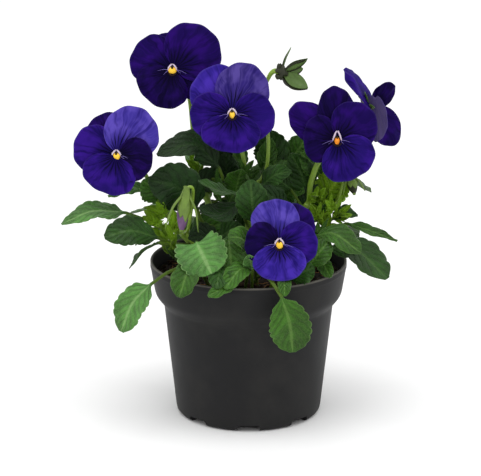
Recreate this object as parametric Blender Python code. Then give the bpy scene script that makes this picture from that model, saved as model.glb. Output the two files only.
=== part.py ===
"""A flowering pansy growing in a round nursery pot, modelled piece by piece.

World frame: +Z is up, the origin is the centre of the pot's underside, and the flowers face -Y.
Lengths below are in millimetres; the meshes are made in metres.
"""

import math
from dataclasses import dataclass

import bmesh
import bpy
from mathutils import Vector

MM = 0.001
UP = Vector((0.0, 0.0, 1.0))
GAP = 0.35  # clearance between pieces that touch

# Pot
RIM_RADIUS = 60.0
POT_HEIGHT = 96.0
FOOT_RADIUS = 44.2
FOOT_CORNER = 3.2
SHOULDER_RADIUS = 51.8
SHOULDER_HEIGHT = 69.0
BAND_RADIUS = 57.0
BAND_HEIGHT = 75.5
WALL = 1.3
FLOOR = 1.4
POT_SEGMENTS = 48
NOTCH_COUNT = 8
NOTCH_WIDTH = 13.5
NOTCH_HEIGHT = 3.7
NOTCH_INNER_RADIUS = 36.0

# Soil
SOIL_EDGE_HEIGHT = 86.5
SOIL_CROWN_HEIGHT = 89.5
SOIL_SEGMENTS = 48

# Stems
SHOOT_FOOT_RADIUS = 2.6
SHOOT_TIP_RADIUS = 1.8
SHOOT_STEPS = 40
STALK_RADIUS = 1.2
SIDE_GAP = 0.7  # from a shoot's side to the middle of a stem that grows from it
PETIOLE_RADIUS = 1.0

# Flowers: every petal of a flower is a layer of the same dished surface
PETAL_THICKNESS = 0.6
LAYER_STEP = 0.95
DISH_DEPTH = 1.8
PISTIL_RADIUS = 1.6
THROAT_RADIUS = PISTIL_RADIUS + 0.4
SEPAL_REACH = 9.0
SEPAL_VALLEY = 3.2
SEPAL_THICKNESS = 0.7

# Leaves
LEAF_THICKNESS = 0.8

COLOURS = {
    "pot": ((0.035, 0.035, 0.037), 0.5),
    "soil": ((0.03, 0.02, 0.014), 0.95),
    "stem": ((0.16, 0.3, 0.05), 0.55),
    "leaf": ((0.06, 0.17, 0.04), 0.55),
    "petal": ((0.06, 0.015, 0.3), 0.6),
}


def clear_scene():
    """Remove every object from the scene."""
    for item in list(bpy.data.objects):
        bpy.data.objects.remove(item, do_unlink=True)


def material(kind):
    """Return the named material, made on first use.

    Args:
        kind: a key of COLOURS.
    """
    found = bpy.data.materials.get(kind)
    if found:
        return found
    colour, roughness = COLOURS[kind]
    made = bpy.data.materials.new(kind)
    made.use_nodes = True
    shader = made.node_tree.nodes["Principled BSDF"]
    shader.inputs["Base Color"].default_value = (*colour, 1.0)
    shader.inputs["Roughness"].default_value = roughness
    shader.inputs["Metallic"].default_value = 0.0
    return made


def place(name, shape, kind):
    """Close a bmesh into a named object with outward faces.

    Args:
        name: the sub-part's name.
        shape: the bmesh, in metres; it is freed.
        kind: a key of COLOURS.

    Returns:
        The new object.
    """
    bmesh.ops.recalc_face_normals(shape, faces=shape.faces)
    if shape.calc_volume(signed=True) < 0:
        bmesh.ops.reverse_faces(shape, faces=shape.faces)
    mesh = bpy.data.meshes.new(name)
    shape.to_mesh(mesh)
    shape.free()
    mesh.materials.append(material(kind))
    mesh.shade_smooth()
    mesh.set_sharp_from_angle(angle=math.radians(35.0))
    item = bpy.data.objects.new(name, mesh)
    bpy.context.scene.collection.objects.link(item)
    return item


def loft(name, rings, kind):
    """Join rings of equally many points into one solid, capped at both ends."""
    shape = bmesh.new()
    layers = [[shape.verts.new(point * MM) for point in ring] for ring in rings]
    count = len(rings[0])
    for near, far in zip(layers, layers[1:]):
        for k in range(count):
            j = (k + 1) % count
            shape.faces.new((near[k], near[j], far[j], far[k]))
    shape.faces.new(reversed(layers[0]))
    shape.faces.new(layers[-1])
    return place(name, shape, kind)


def turned(name, profile, segments, kind):
    """Turn (radius, height) points about the pot's axis; the first and last rings are capped flat."""
    rings = []
    for radius, height in profile:
        ring = []
        for k in range(segments):
            angle = math.tau * k / segments
            ring.append(Vector((radius * math.cos(angle), radius * math.sin(angle), height)))
        rings.append(ring)
    return loft(name, rings, kind)


def smooth_path(points, count):
    """Read a Catmull-Rom curve through the points at evenly spaced places.

    Args:
        points: two or more vectors.
        count: how many places to return.
    """
    knots = [2 * points[0] - points[1], *points, 2 * points[-1] - points[-2]]
    fine = []
    for a, b, c, d in zip(knots, knots[1:], knots[2:], knots[3:]):
        for step in range(12):
            t = step / 12
            fine.append(
                0.5 * ((2 * b) + (c - a) * t + (2 * a - 5 * b + 4 * c - d) * t**2
                       + (3 * b - a - 3 * c + d) * t**3)
            )
    fine.append(points[-1])
    lengths = [0.0]
    for near, far in zip(fine, fine[1:]):
        lengths.append(lengths[-1] + (far - near).length)
    places = []
    index = 0
    for k in range(count):
        target = lengths[-1] * k / (count - 1)
        while index < len(fine) - 2 and lengths[index + 1] < target:
            index += 1
        span = lengths[index + 1] - lengths[index]
        places.append(fine[index].lerp(fine[index + 1], (target - lengths[index]) / span))
    return places


def tangents(path):
    """Return the unit direction of travel at each point of a path."""
    ends = [path[0], *path, path[-1]]
    return [(after - before).normalized() for before, after in zip(ends, ends[2:])]


def ring_about(centre, side, over, radii):
    """Return points round a centre, one for each radius, from side towards over."""
    ring = []
    for k, radius in enumerate(radii):
        angle = math.tau * k / len(radii)
        ring.append(centre + side * radius * math.cos(angle) + over * radius * math.sin(angle))
    return ring


def tube_rings(path, radii, points, side, headings=None):
    """Return rings along a path that don't twist about it.

    Args:
        path: the centre line.
        radii: one radius for each point of the path.
        points: how many points each ring has.
        side: a direction roughly across the start of the path, where each ring starts.
        headings: the direction of travel at each point, worked out from the path if left out.
    """
    rings = []
    heading = None
    for centre, direction, radius in zip(path, headings or tangents(path), radii):
        if heading is not None:
            side = heading.rotation_difference(direction) @ side
        heading = direction
        side = (side - direction * side.dot(direction)).normalized()
        rings.append(ring_about(centre, side, direction.cross(side), [radius] * points))
    return rings


def soil_height(x, y):
    """Return the height of the soil's domed top."""
    outer = BAND_RADIUS
    return SOIL_CROWN_HEIGHT - (SOIL_CROWN_HEIGHT - SOIL_EDGE_HEIGHT) * (x * x + y * y) / outer**2


# ---------------------------------------------------------------------------------------- pot


def wall_radius(height):
    """Return the pot's outer radius at a height above the foot's corner."""
    steps = (
        (FOOT_CORNER, FOOT_RADIUS),
        (SHOULDER_HEIGHT, SHOULDER_RADIUS),
        (BAND_HEIGHT, BAND_RADIUS),
        (POT_HEIGHT, RIM_RADIUS),
    )
    for (low, narrow), (high, wide) in zip(steps, steps[1:]):
        if height <= high:
            return narrow + (wide - narrow) * (height - low) / (high - low)
    return RIM_RADIUS


def make_pot():
    """Make the thin-walled pot with a band under its rim and drain notches round its foot."""
    foot = FOOT_RADIUS - FOOT_CORNER
    corner = []
    for degrees in (0, 30, 60, 90):
        turn = math.radians(degrees)
        corner.append((foot + FOOT_CORNER * math.sin(turn), FOOT_CORNER * (1 - math.cos(turn))))
    outside = corner + [(wall_radius(h), h) for h in (SHOULDER_HEIGHT, BAND_HEIGHT, POT_HEIGHT - 0.5)]
    rim = [(RIM_RADIUS - 0.4, POT_HEIGHT), (RIM_RADIUS - WALL, POT_HEIGHT)]
    inside = [(wall_radius(h) - WALL, h + 0.3) for h in (BAND_HEIGHT, SHOULDER_HEIGHT)]
    inner_foot = [(wall_radius(FOOT_CORNER + 1) - WALL, FOOT_CORNER + 1), (foot - 0.5, FLOOR)]
    pot = turned("pot", outside + rim + inside + inner_foot, POT_SEGMENTS, "pot")

    cutter = make_notch_cutter()
    notches = pot.modifiers.new("drain notches", "BOOLEAN")
    notches.operation = "DIFFERENCE"
    notches.solver = "EXACT"
    notches.object = cutter
    return pot


def make_notch_cutter():
    """Make the arched blocks that open the drain notches, one every 45 degrees from the front."""
    shape = bmesh.new()
    half = NOTCH_WIDTH / 2
    shoulder = half - 1.6
    outline = ((-half, -2.0), (half, -2.0), (half, NOTCH_HEIGHT - 1.2), (shoulder, NOTCH_HEIGHT),
               (-shoulder, NOTCH_HEIGHT), (-half, NOTCH_HEIGHT - 1.2))
    for k in range(NOTCH_COUNT):
        angle = math.tau * k / NOTCH_COUNT - math.pi / 2
        outward = Vector((math.cos(angle), math.sin(angle), 0.0))
        across = Vector((-math.sin(angle), math.cos(angle), 0.0))
        near, far = [], []
        for x, z in outline:
            beside = across * x + UP * z
            near.append(shape.verts.new((outward * NOTCH_INNER_RADIUS + beside) * MM))
            far.append(shape.verts.new((outward * RIM_RADIUS + beside) * MM))
        for i in range(len(outline)):
            j = (i + 1) % len(outline)
            shape.faces.new((near[i], near[j], far[j], far[i]))
        shape.faces.new(reversed(near))
        shape.faces.new(far)
    cutter = place("drain_notch_cutter", shape, "pot")
    cutter.hide_render = True
    cutter.display_type = "WIRE"
    return cutter


def make_soil():
    """Make the plug of compost, clear of the pot's wall and floor by the gap."""
    edge = WALL + GAP
    base = FLOOR + GAP
    low = (FOOT_RADIUS - FOOT_CORNER - 2, base)
    foot = (wall_radius(FOOT_CORNER + 1) - edge, FOOT_CORNER + 2)
    shoulder = (SHOULDER_RADIUS - edge, SHOULDER_HEIGHT + 0.6)
    band = (BAND_RADIUS - edge, BAND_HEIGHT + 0.7)
    brim = wall_radius(SOIL_EDGE_HEIGHT) - edge
    top = [(r, soil_height(r, 0.0)) for r in (brim, 38.0, 18.0)]
    return turned("soil", [low, foot, shoulder, band, *top], SOIL_SEGMENTS, "soil")


# -------------------------------------------------------------------------------------- shoots


@dataclass(frozen=True)
class Shoot:
    """A leafy stem that rises from the soil.

    Attributes:
        name: the sub-part's name.
        foot: where it leaves the soil, as (x, y).
        path: the points that it passes through above the soil.
    """

    name: str
    foot: tuple
    path: tuple

    def line(self):
        """Return the centre line, upright where it leaves the soil."""
        x, y = self.foot
        start = Vector((x, y, soil_height(x, y) + GAP + 0.1))
        return smooth_path([start, start + UP * 4, *map(Vector, self.path)], SHOOT_STEPS + 1)

    def radius(self, t):
        """Return the stem's radius at a fraction of its length."""
        return SHOOT_FOOT_RADIUS + (SHOOT_TIP_RADIUS - SHOOT_FOOT_RADIUS) * t

    def build(self):
        """Make the stem's solid."""
        line = self.line()
        headings = [UP, *tangents(line)[1:]]
        coarse = range(0, SHOOT_STEPS + 1, 5)
        rings = tube_rings([line[k] for k in coarse], [self.radius(k / SHOOT_STEPS) for k in coarse], 8,
                           Vector((1.0, 0.0, 0.0)), [headings[k] for k in coarse])
        return loft(self.name, rings, "stem")

    def side_seat(self, t, toward):
        """Return a seat on the stem's side and the direction away from it.

        Args:
            t: how far up the stem, from 0 to 1.
            toward: the point that the seated piece grows towards.
        """
        line = self.line()
        index = round(t * SHOOT_STEPS)
        axis = tangents(line)[index]
        reach = toward - line[index]
        away = (reach - axis * reach.dot(axis)).normalized()
        return line[index] + away * (self.radius(t) + SIDE_GAP), away

    def tip_seat(self):
        """Return a seat on the stem's end and the direction that the end points in."""
        line = self.line()
        away = tangents(line)[-1]
        return line[-1] + away * (GAP + 0.1), away


SHOOTS = {
    shoot.name: shoot
    for shoot in (
        Shoot("shoot_left", (-15, -10), ((-32, -12, 107), (-48, -9, 125))),
        Shoot("shoot_back_left", (-10, 8), ((-22, 13, 120), (-30, 16, 146))),
        Shoot("shoot_middle", (0, 2), ((0, 6, 118), (-1, 7, 144))),
        Shoot("shoot_right", (12, 2), ((27, 4, 110), (36, 4, 130))),
        Shoot("shoot_back_right", (17, 13), ((33, 14, 108), (43, 13, 125))),
    )
}


def seat_for(seat, toward):
    """Return a root point and the direction in which a piece leaves it.

    Args:
        seat: ("soil", x, y), (shoot name, "tip") or (shoot name, fraction).
        toward: the next point that the piece passes through.
    """
    if seat[0] == "soil":
        x, y = seat[1], seat[2]
        return Vector((x, y, soil_height(x, y) + GAP + 0.1)), UP
    shoot = SHOOTS[seat[0]]
    if seat[1] == "tip":
        return shoot.tip_seat()
    return shoot.side_seat(seat[1], toward)


# -------------------------------------------------------------------------------------- leaves


@dataclass(frozen=True)
class Leaf:
    """One leaf: a petiole that widens into a blade.

    Attributes:
        name: the sub-part's name.
        seat: what carries the petiole, as in seat_for.
        path: the points of the centre line after the seat.
        blade_from: the index in path where the blade begins.
        width: the blade's full width.
        facing: the direction that the blade's upper side faces.
        widest: where along the blade it is widest, from 0 to 1.
    """

    name: str
    seat: tuple
    path: tuple
    blade_from: int
    width: float
    facing: tuple
    widest: float = 0.5

    def build(self):
        """Make the leaf's solid."""
        points = [Vector(p) for p in self.path]
        root, away = seat_for(self.seat, points[0])
        petiole = smooth_path([root, root + away * 2.5, *points[: self.blade_from + 1]], 6)
        blade = smooth_path(points[self.blade_from:], 9)
        line = petiole[:-1] + blade
        start = len(petiole) - 1
        rings = []
        for k, (centre, direction) in enumerate(zip(line, [away, *tangents(line)[1:]])):
            normal = Vector(self.facing)
            across = direction.cross(normal).normalized()
            normal = across.cross(direction)
            along = max(0.0, (k - start) / (len(line) - 1 - start))
            rings.append(self.ring(centre, across, normal, along))
        return loft(self.name, rings, "leaf")

    def ring(self, centre, across, normal, along):
        """Return one section: round on the petiole, thin and slightly folded on the blade."""
        power = math.log(0.5) / math.log(self.widest)
        spread = self.width / 2 * math.sin(math.pi * min(along, 0.985) ** power) ** 0.72
        blend = min(1.0, along * 5.0)
        top = []
        bottom = []
        for k in range(5):
            angle = math.radians(162 - 36 * k)
            place_across = (k - 2) / 2
            flat = place_across * max(spread, PETIOLE_RADIUS)
            body = LEAF_THICKNESS / 2 * (1 - 0.35 * abs(place_across))
            lift = 0.12 * abs(flat)
            x = (1 - blend) * PETIOLE_RADIUS * math.cos(angle) + blend * flat
            round_height = PETIOLE_RADIUS * math.sin(angle)
            high = (1 - blend) * round_height + blend * (lift + body)
            low = -(1 - blend) * round_height + blend * (lift - body)
            top.append(centre + across * x + normal * high)
            bottom.append(centre + across * x + normal * low)
        return top + bottom[::-1]


LEAVES = (
    Leaf("leaf_far_left", ("shoot_left", 0.9),
         ((-60, -13, 124), (-74, -16, 130), (-94, -20, 132), (-112, -27, 126)),
         1, 17, (-0.05, -0.4, 0.92), 0.42),
    Leaf("leaf_left", ("shoot_left", 0.62),
         ((-45, -24, 113), (-54, -29, 118), (-70, -34, 124), (-86, -37, 121)),
         1, 20, (0.0, -0.72, 0.7), 0.55),
    Leaf("leaf_drooping_left", ("soil", -22, -20),
         ((-34, -31, 101), (-47, -38, 100), (-58, -44, 94), (-69, -50, 84), (-76, -53, 67)),
         2, 21, (-0.45, -0.75, 0.5), 0.52),
    Leaf("leaf_round_front", ("soil", -19, -28),
         ((-27, -40, 116), (-32, -47, 125), (-29, -57, 119), (-24, -63, 108)),
         1, 29, (0.0, -0.8, 0.6), 0.5),
    Leaf("leaf_dark_front", ("soil", -8, -24),
         ((-11, -36, 116), (-12, -42, 124), (-11, -50, 115), (-10, -54, 102)),
         1, 20, (0.0, -0.8, 0.6), 0.55),
    Leaf("leaf_upright", ("shoot_middle", 0.62),
         ((3, -18, 119), (3, -29, 127), (2, -32, 141), (1, -28, 154)),
         1, 20, (0.0, -1.0, 0.2), 0.55),
    Leaf("leaf_arching", ("shoot_back_left", 0.95),
         ((-22, 3, 149), (-24, 2, 156), (-37, 1, 171), (-56, -9, 167)),
         1, 20, (-0.35, -0.65, 0.65), 0.5),
    Leaf("leaf_dark_left", ("shoot_back_left", 0.45),
         ((-28, -2, 125), (-32, -5, 136), (-44, -10, 149), (-60, -15, 153)),
         1, 26, (-0.35, -0.9, 0.35), 0.5),
    Leaf("leaf_behind_stalks", ("shoot_middle", 0.8),
         ((10, 16, 136), (13, 20, 144), (14, 25, 158), (10, 25, 171)),
         1, 22, (0.0, -1.0, 0.3), 0.5),
    Leaf("leaf_dark_right", ("shoot_right", 0.72),
         ((36, 10, 126), (37, 11, 133), (32, 12, 147), (26, 10, 160)),
         1, 18, (-0.1, -1.0, 0.15), 0.5),
    Leaf("leaf_far_right", ("shoot_right", 0.9),
         ((48, -1, 123), (57, -1, 124), (72, -6, 118), (90, -12, 112)),
         1, 12, (0.1, -0.4, 0.92), 0.4),
    Leaf("leaf_broad_right", ("shoot_right", 0.4),
         ((40, -8, 108), (50, -12, 111), (67, -21, 111), (83, -34, 95)),
         1, 22, (0.45, -0.55, 0.7), 0.6),
    Leaf("leaf_drooping_front", ("soil", 4, -26),
         ((8, -42, 99), (13, -60, 101), (19, -68, 94), (24, -70, 78), (26, -67, 59)),
         2, 25, (0.0, -1.0, 0.2), 0.55),
    Leaf("leaf_back", ("shoot_middle", 0.55),
         ((-5, 24, 120), (-8, 34, 126), (-14, 48, 130), (-20, 62, 122)),
         1, 24, (0.0, 0.3, 0.95), 0.5),
)


# ------------------------------------------------------------------------------------- flowers


@dataclass(frozen=True)
class Petal:
    """The plan of one petal on its flower.

    Attributes:
        angle: its direction about the throat, in degrees, 90 being up.
        reach: its length as a share of the flower's reach.
        spread: half of its opening angle, in degrees.
        layer: its layer on the flower, 0 being the lateral petals'.
    """

    angle: float
    reach: float
    spread: float
    layer: float


@dataclass(frozen=True)
class Flower:
    """One open flower: five petals about a throat, on a hooked stalk.

    Attributes:
        name: the flower's name, the start of its pieces' names.
        centre: the throat's place.
        facing: the direction that the flower faces.
        roll: its turn about that direction in degrees, anticlockwise from the front.
        reach: the length of its upper petals.
        left_in_front: True where the left upper petal overlaps the right one.
        seat: what carries the stalk, as in seat_for.
        path: the points that the stalk passes through, from under the flower down.
    """

    name: str
    centre: tuple
    facing: tuple
    roll: float
    reach: float
    left_in_front: bool
    seat: tuple
    path: tuple

    def axes(self):
        """Return the flower's right, up and forward directions."""
        forward = Vector(self.facing).normalized()
        level = UP.cross(forward).normalized()
        upright = forward.cross(level)
        turn = math.radians(self.roll)
        right = level * math.cos(turn) + upright * math.sin(turn)
        return right, forward.cross(right), forward

    def point(self, x, y, height):
        """Return a point over the dished face: x to the right, y up, height forward of the dish."""
        right, over, forward = self.axes()
        dish = -DISH_DEPTH * y * math.hypot(x, y) / self.reach**2
        return Vector(self.centre) + right * x + over * y + forward * (dish + height)

    def petals(self):
        """Return the plans of the five petals by name."""
        left, right = (-1, -2) if self.left_in_front else (-2, -1)
        return {
            "upper_left": Petal(122, 1.0, 64, left),
            "upper_right": Petal(58, 1.0, 64, right),
            "lateral_left": Petal(184, 0.88, 60, 0),
            "lateral_right": Petal(-4, 0.88, 60, 0),
            "lip": Petal(270, 0.82, 70, 1),
        }

    def build_petal(self, part, plan):
        """Make one petal's solid: a fan from its claw beside the pistil to its rounded edge."""
        turn = math.radians(plan.angle)
        rows, columns = 5, 7
        length = self.reach * plan.reach - THROAT_RADIUS
        front, back = [], []
        for i in range(rows):
            share = (i / (rows - 1)) ** 0.85
            for j in range(columns):
                side = 2 * j / (columns - 1) - 1
                swing = math.radians(plan.spread) * side
                inner = THROAT_RADIUS * Vector((math.cos(swing * 0.45), math.sin(swing * 0.45)))
                radius = length * (1 - 0.42 * abs(side) ** 3)
                outer = Vector((THROAT_RADIUS + radius * math.cos(swing), radius * math.sin(swing)))
                flat = inner.lerp(outer, share)
                x = flat.x * math.cos(turn) - flat.y * math.sin(turn)
                y = flat.x * math.sin(turn) + flat.y * math.cos(turn)
                height = plan.layer * LAYER_STEP
                front.append(self.point(x, y, height + PETAL_THICKNESS / 2))
                back.append(self.point(x, y, height - PETAL_THICKNESS / 2))
        return sheet(f"{self.name}_{part}", front, back, rows, columns, "petal")

    def build_stalk(self):
        """Make the stalk, its five-lobed calyx and the pistil as one solid."""
        right, over, forward = self.axes()
        calyx = -2 * LAYER_STEP - PETAL_THICKNESS / 2 - GAP
        lobes = [SEPAL_REACH if k % 3 == 0 else SEPAL_VALLEY for k in range(15)]
        rings = []
        for radii, height in (
            ([PISTIL_RADIUS * 0.6] * 15, LAYER_STEP + 1.2),
            ([PISTIL_RADIUS] * 15, LAYER_STEP + 0.4),
            ([PISTIL_RADIUS] * 15, calyx),
            (lobes, calyx),
            ([r * 0.97 for r in lobes], calyx - SEPAL_THICKNESS),
            ([STALK_RADIUS * 1.5] * 15, calyx - SEPAL_THICKNESS - 0.9),
        ):
            rings.append([])
            for k, radius in enumerate(radii):
                angle = math.radians(90) - math.tau * k / 15
                rings[-1].append(self.point(radius * math.cos(angle), radius * math.sin(angle), height))
        neck = Vector(self.centre) + forward * (calyx - SEPAL_THICKNESS - 2.2)
        hook = [neck, neck - forward * 4 + UP * 1.2, neck - forward * 8 - UP * 1.5]
        way = [Vector(p) for p in self.path]
        root, away = seat_for(self.seat, way[-1])
        line = smooth_path([*hook, *way, root + away * 3, root], 12)
        headings = [*tangents(line)[:-1], -away]
        rings += tube_rings(line, [STALK_RADIUS] * len(line), 15, over, headings)
        return loft(f"{self.name}_stalk", rings, "stem")

    def build(self):
        """Make the stalk and the five petals."""
        self.build_stalk()
        for part, plan in self.petals().items():
            self.build_petal(part, plan)


def sheet(name, front, back, rows, columns, kind):
    """Close two grids of points, front and back, into one thin solid."""
    shape = bmesh.new()
    faces_front = [shape.verts.new(point * MM) for point in front]
    faces_back = [shape.verts.new(point * MM) for point in back]
    for i in range(rows - 1):
        for j in range(columns - 1):
            a, b = i * columns + j, i * columns + j + 1
            c, d = b + columns, a + columns
            for skin in (faces_front, faces_back):
                shape.faces.new((skin[a], skin[b], skin[c]))
                shape.faces.new((skin[a], skin[c], skin[d]))
    rim = list(range(columns))
    rim += [i * columns + columns - 1 for i in range(1, rows)]
    rim += [(rows - 1) * columns + j for j in reversed(range(columns - 1))]
    rim += [i * columns for i in reversed(range(1, rows - 1))]
    for near, far in zip(rim, rim[1:] + rim[:1]):
        shape.faces.new((faces_front[near], faces_front[far], faces_back[far], faces_back[near]))
    return place(name, shape, kind)


FLOWERS = (
    Flower("flower_top_left", (-46, 12, 212), (0.0, -1.0, 0.22), -26, 28, False,
           ("shoot_back_left", "tip"), ((-37, 27, 194), (-34, 24, 170))),
    Flower("flower_top_middle", (-10, -6, 189), (0.05, -1.0, 0.2), 3, 29, False,
           ("shoot_middle", "tip"), ((-6, 8, 172),)),
    Flower("flower_left", (-79, -16, 166), (-0.05, -1.0, 0.2), -17, 27, False,
           ("shoot_left", "tip"), ((-68, -3, 158), (-57, -7, 142))),
    Flower("flower_right", (53, -10, 174), (0.0, -1.0, 0.15), 28, 29, False,
           ("shoot_right", "tip"), ((44, 3, 160), (38, 4, 144))),
    Flower("flower_far_right", (75, 20, 188), (0.85, 0.42, 0.25), 8, 24, True,
           ("shoot_back_right", "tip"), ((58, 16, 166), (48, 16, 140))),
    Flower("flower_front", (18, -54, 122), (0.0, -0.93, 0.3), 0, 27, True,
           ("soil", 14, -34), ((17, -41, 110),)),
)


# ---------------------------------------------------------------------------------------- buds


@dataclass(frozen=True)
class Bud:
    """A closed bud on its own thin stalk, one solid.

    Attributes:
        name: the sub-part's name.
        seat: what carries the stalk, as in seat_for.
        path: the stalk's points, up to where the bud begins.
        tip: the bud's pointed end.
        radius: the bud's greatest radius.
    """

    name: str
    seat: tuple
    path: tuple
    tip: tuple
    radius: float

    def build(self):
        """Make the bud and stalk."""
        way = [Vector(p) for p in self.path]
        root, away = seat_for(self.seat, way[0])
        line = smooth_path([root, root + away * 2.5, *way], 12)
        radii = [STALK_RADIUS * 0.8] * 12
        for share in (0.1, 0.3, 0.55, 0.8, 1.0):
            line.append(way[-1].lerp(Vector(self.tip), share))
            bulge = max(0.0, math.sin(math.pi * (0.25 + 0.75 * share)))
            radii.append(max(0.4, self.radius * bulge**0.8))
        headings = [away, *tangents(line)[1:]]
        return loft(self.name, tube_rings(line, radii, 8, Vector((0.3, 1.0, 0.2)), headings), "stem")


def make_open_calyx():
    """Make the empty calyx at the top of the plant: a bent stalk and five sepals spread like a cup."""
    centre = Vector((19.0, 9.0, 211.0))
    forward = Vector((1.0, -0.2, 0.1)).normalized()
    side = UP.cross(forward).normalized()
    over = forward.cross(side)
    reaches = (15.0, 9.0, 13.0, 17.0, 17.0)
    sections = (
        # tip radius, valley radius, how far ahead the valley lies, how far the tip falls short
        (1.0, 1.0, 1.5, None),
        (1.8, 1.8, 2.0, None),
        (8.6, 2.6, 3.0, 0.5),
        (9.2, 3.4, 2.6, 0.0),
        (2.6, 2.6, -2.0, None),
    )
    rings = []
    for tip, valley, ahead, short in sections:
        ring = []
        for k in range(15):
            angle = math.radians(60) - math.tau * k / 15
            on_tip = k % 3 == 0
            radius = tip if on_tip else valley
            along = reaches[k // 3] - short if on_tip and short is not None else ahead
            spoke = side * math.cos(angle) + over * math.sin(angle)
            ring.append(centre + spoke * radius + forward * along)
        rings.append(ring)
    root, away = seat_for(("shoot_middle", 0.93), Vector((12.0, 9.0, 150.0)))
    neck = centre - forward * 5
    way = [Vector(p) for p in ((12, 10.5, 207), (10, 10.5, 198), (12, 10, 165), (10, 9.5, 148))]
    line = smooth_path([neck, *way, root + away * 2.5, root], 16)
    headings = [*tangents(line)[:-1], -away]
    start = side * math.cos(math.radians(60)) + over * math.sin(math.radians(60))
    rings += tube_rings(line, [STALK_RADIUS] * len(line), 15, start, headings)
    return loft("bud_top", rings, "stem")


BUDS = (
    Bud("bud_left", ("shoot_left", 0.75),
        ((-36, -26, 124), (-33, -36, 148), (-35, -40, 153), (-37, -41, 150)),
        (-40, -42, 124), 4.5),
    Bud("bud_right", ("shoot_back_right", 0.85),
        ((54, 6, 132), (59, 5, 150), (61, 2, 152), (62, 0, 149)),
        (64, -3, 138), 3.4),
)


def main():
    """Build every sub-part."""
    clear_scene()
    make_pot()
    make_soil()
    for shoot in SHOOTS.values():
        shoot.build()
    for leaf in LEAVES:
        leaf.build()
    for flower in FLOWERS:
        flower.build()
    for bud in BUDS:
        bud.build()
    make_open_calyx()


main()
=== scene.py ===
"""A flowering pansy in a round nursery pot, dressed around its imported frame.

World frame: +Z is up, the origin is the centre of the pot's underside, and the flowers face -Y.
Sizes are in millimetres; meshes are made in metres.
"""

import logging
import math
import random
from collections.abc import Iterable, Sequence
from dataclasses import dataclass, field
from enum import Enum
from typing import Any

import bmesh
import bpy
from mathutils import Matrix, Vector, noise


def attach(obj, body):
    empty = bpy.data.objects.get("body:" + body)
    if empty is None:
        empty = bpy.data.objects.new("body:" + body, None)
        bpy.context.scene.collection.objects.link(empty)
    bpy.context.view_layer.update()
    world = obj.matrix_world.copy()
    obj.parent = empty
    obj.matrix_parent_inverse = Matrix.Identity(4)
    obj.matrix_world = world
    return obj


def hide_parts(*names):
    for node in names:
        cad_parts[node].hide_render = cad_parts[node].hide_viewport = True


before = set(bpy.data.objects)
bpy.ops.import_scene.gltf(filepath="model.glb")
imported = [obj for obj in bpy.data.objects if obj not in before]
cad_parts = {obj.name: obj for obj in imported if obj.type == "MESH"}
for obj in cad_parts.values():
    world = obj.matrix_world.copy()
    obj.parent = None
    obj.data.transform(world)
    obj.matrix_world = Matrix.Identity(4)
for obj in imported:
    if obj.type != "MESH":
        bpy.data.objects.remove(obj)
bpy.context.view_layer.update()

MM = 0.001
UP = Vector((0.0, 0.0, 1.0))
BODY = "root"
SPOTS = "spots"  # the map of a piece: across in u, along in v, and the underside 2 further in u
SOIL_GAP = 0.45  # how far above the compost a shoot's centre line starts
ROOT_DEPTH = 1.0  # how deep a stalk or petiole starts in the compost
log = logging.getLogger("pansy_planter")

Colour = tuple[float, float, float, float]
Triple = tuple[float, float, float]
Socket = bpy.types.NodeSocket
Rows = Sequence[Sequence[Vector]]
Marks = Sequence[Sequence[tuple[float, float]]]


class Slot(Enum):
    """The record's material slots."""

    POT = "pot"
    SOIL = "soil"
    STEM = "stem"
    LEAF = "leaf"
    PETAL = "petal"


def tint(red: float, green: float, blue: float) -> Colour:
    """Return a linear colour from display values of 0 to 255."""
    def linear(value: float) -> float:
        """Return the linear value of one display value."""
        share = value / 255
        return share / 12.92 if share <= 0.04045 else ((share + 0.055) / 1.055) ** 2.4

    return (linear(red), linear(green), linear(blue), 1.0)


def clamp(value: float, low: float = 0.0, high: float = 1.0) -> float:
    """Return the value kept between low and high."""
    return max(low, min(high, value))


def ease(value: float, low: float, high: float) -> float:
    """Return 0 below low, 1 above high and a smooth step between."""
    share = clamp((value - low) / (high - low))
    return share * share * (3 - 2 * share)


# ------------------------------------------------------------------------------------- shaders


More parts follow.
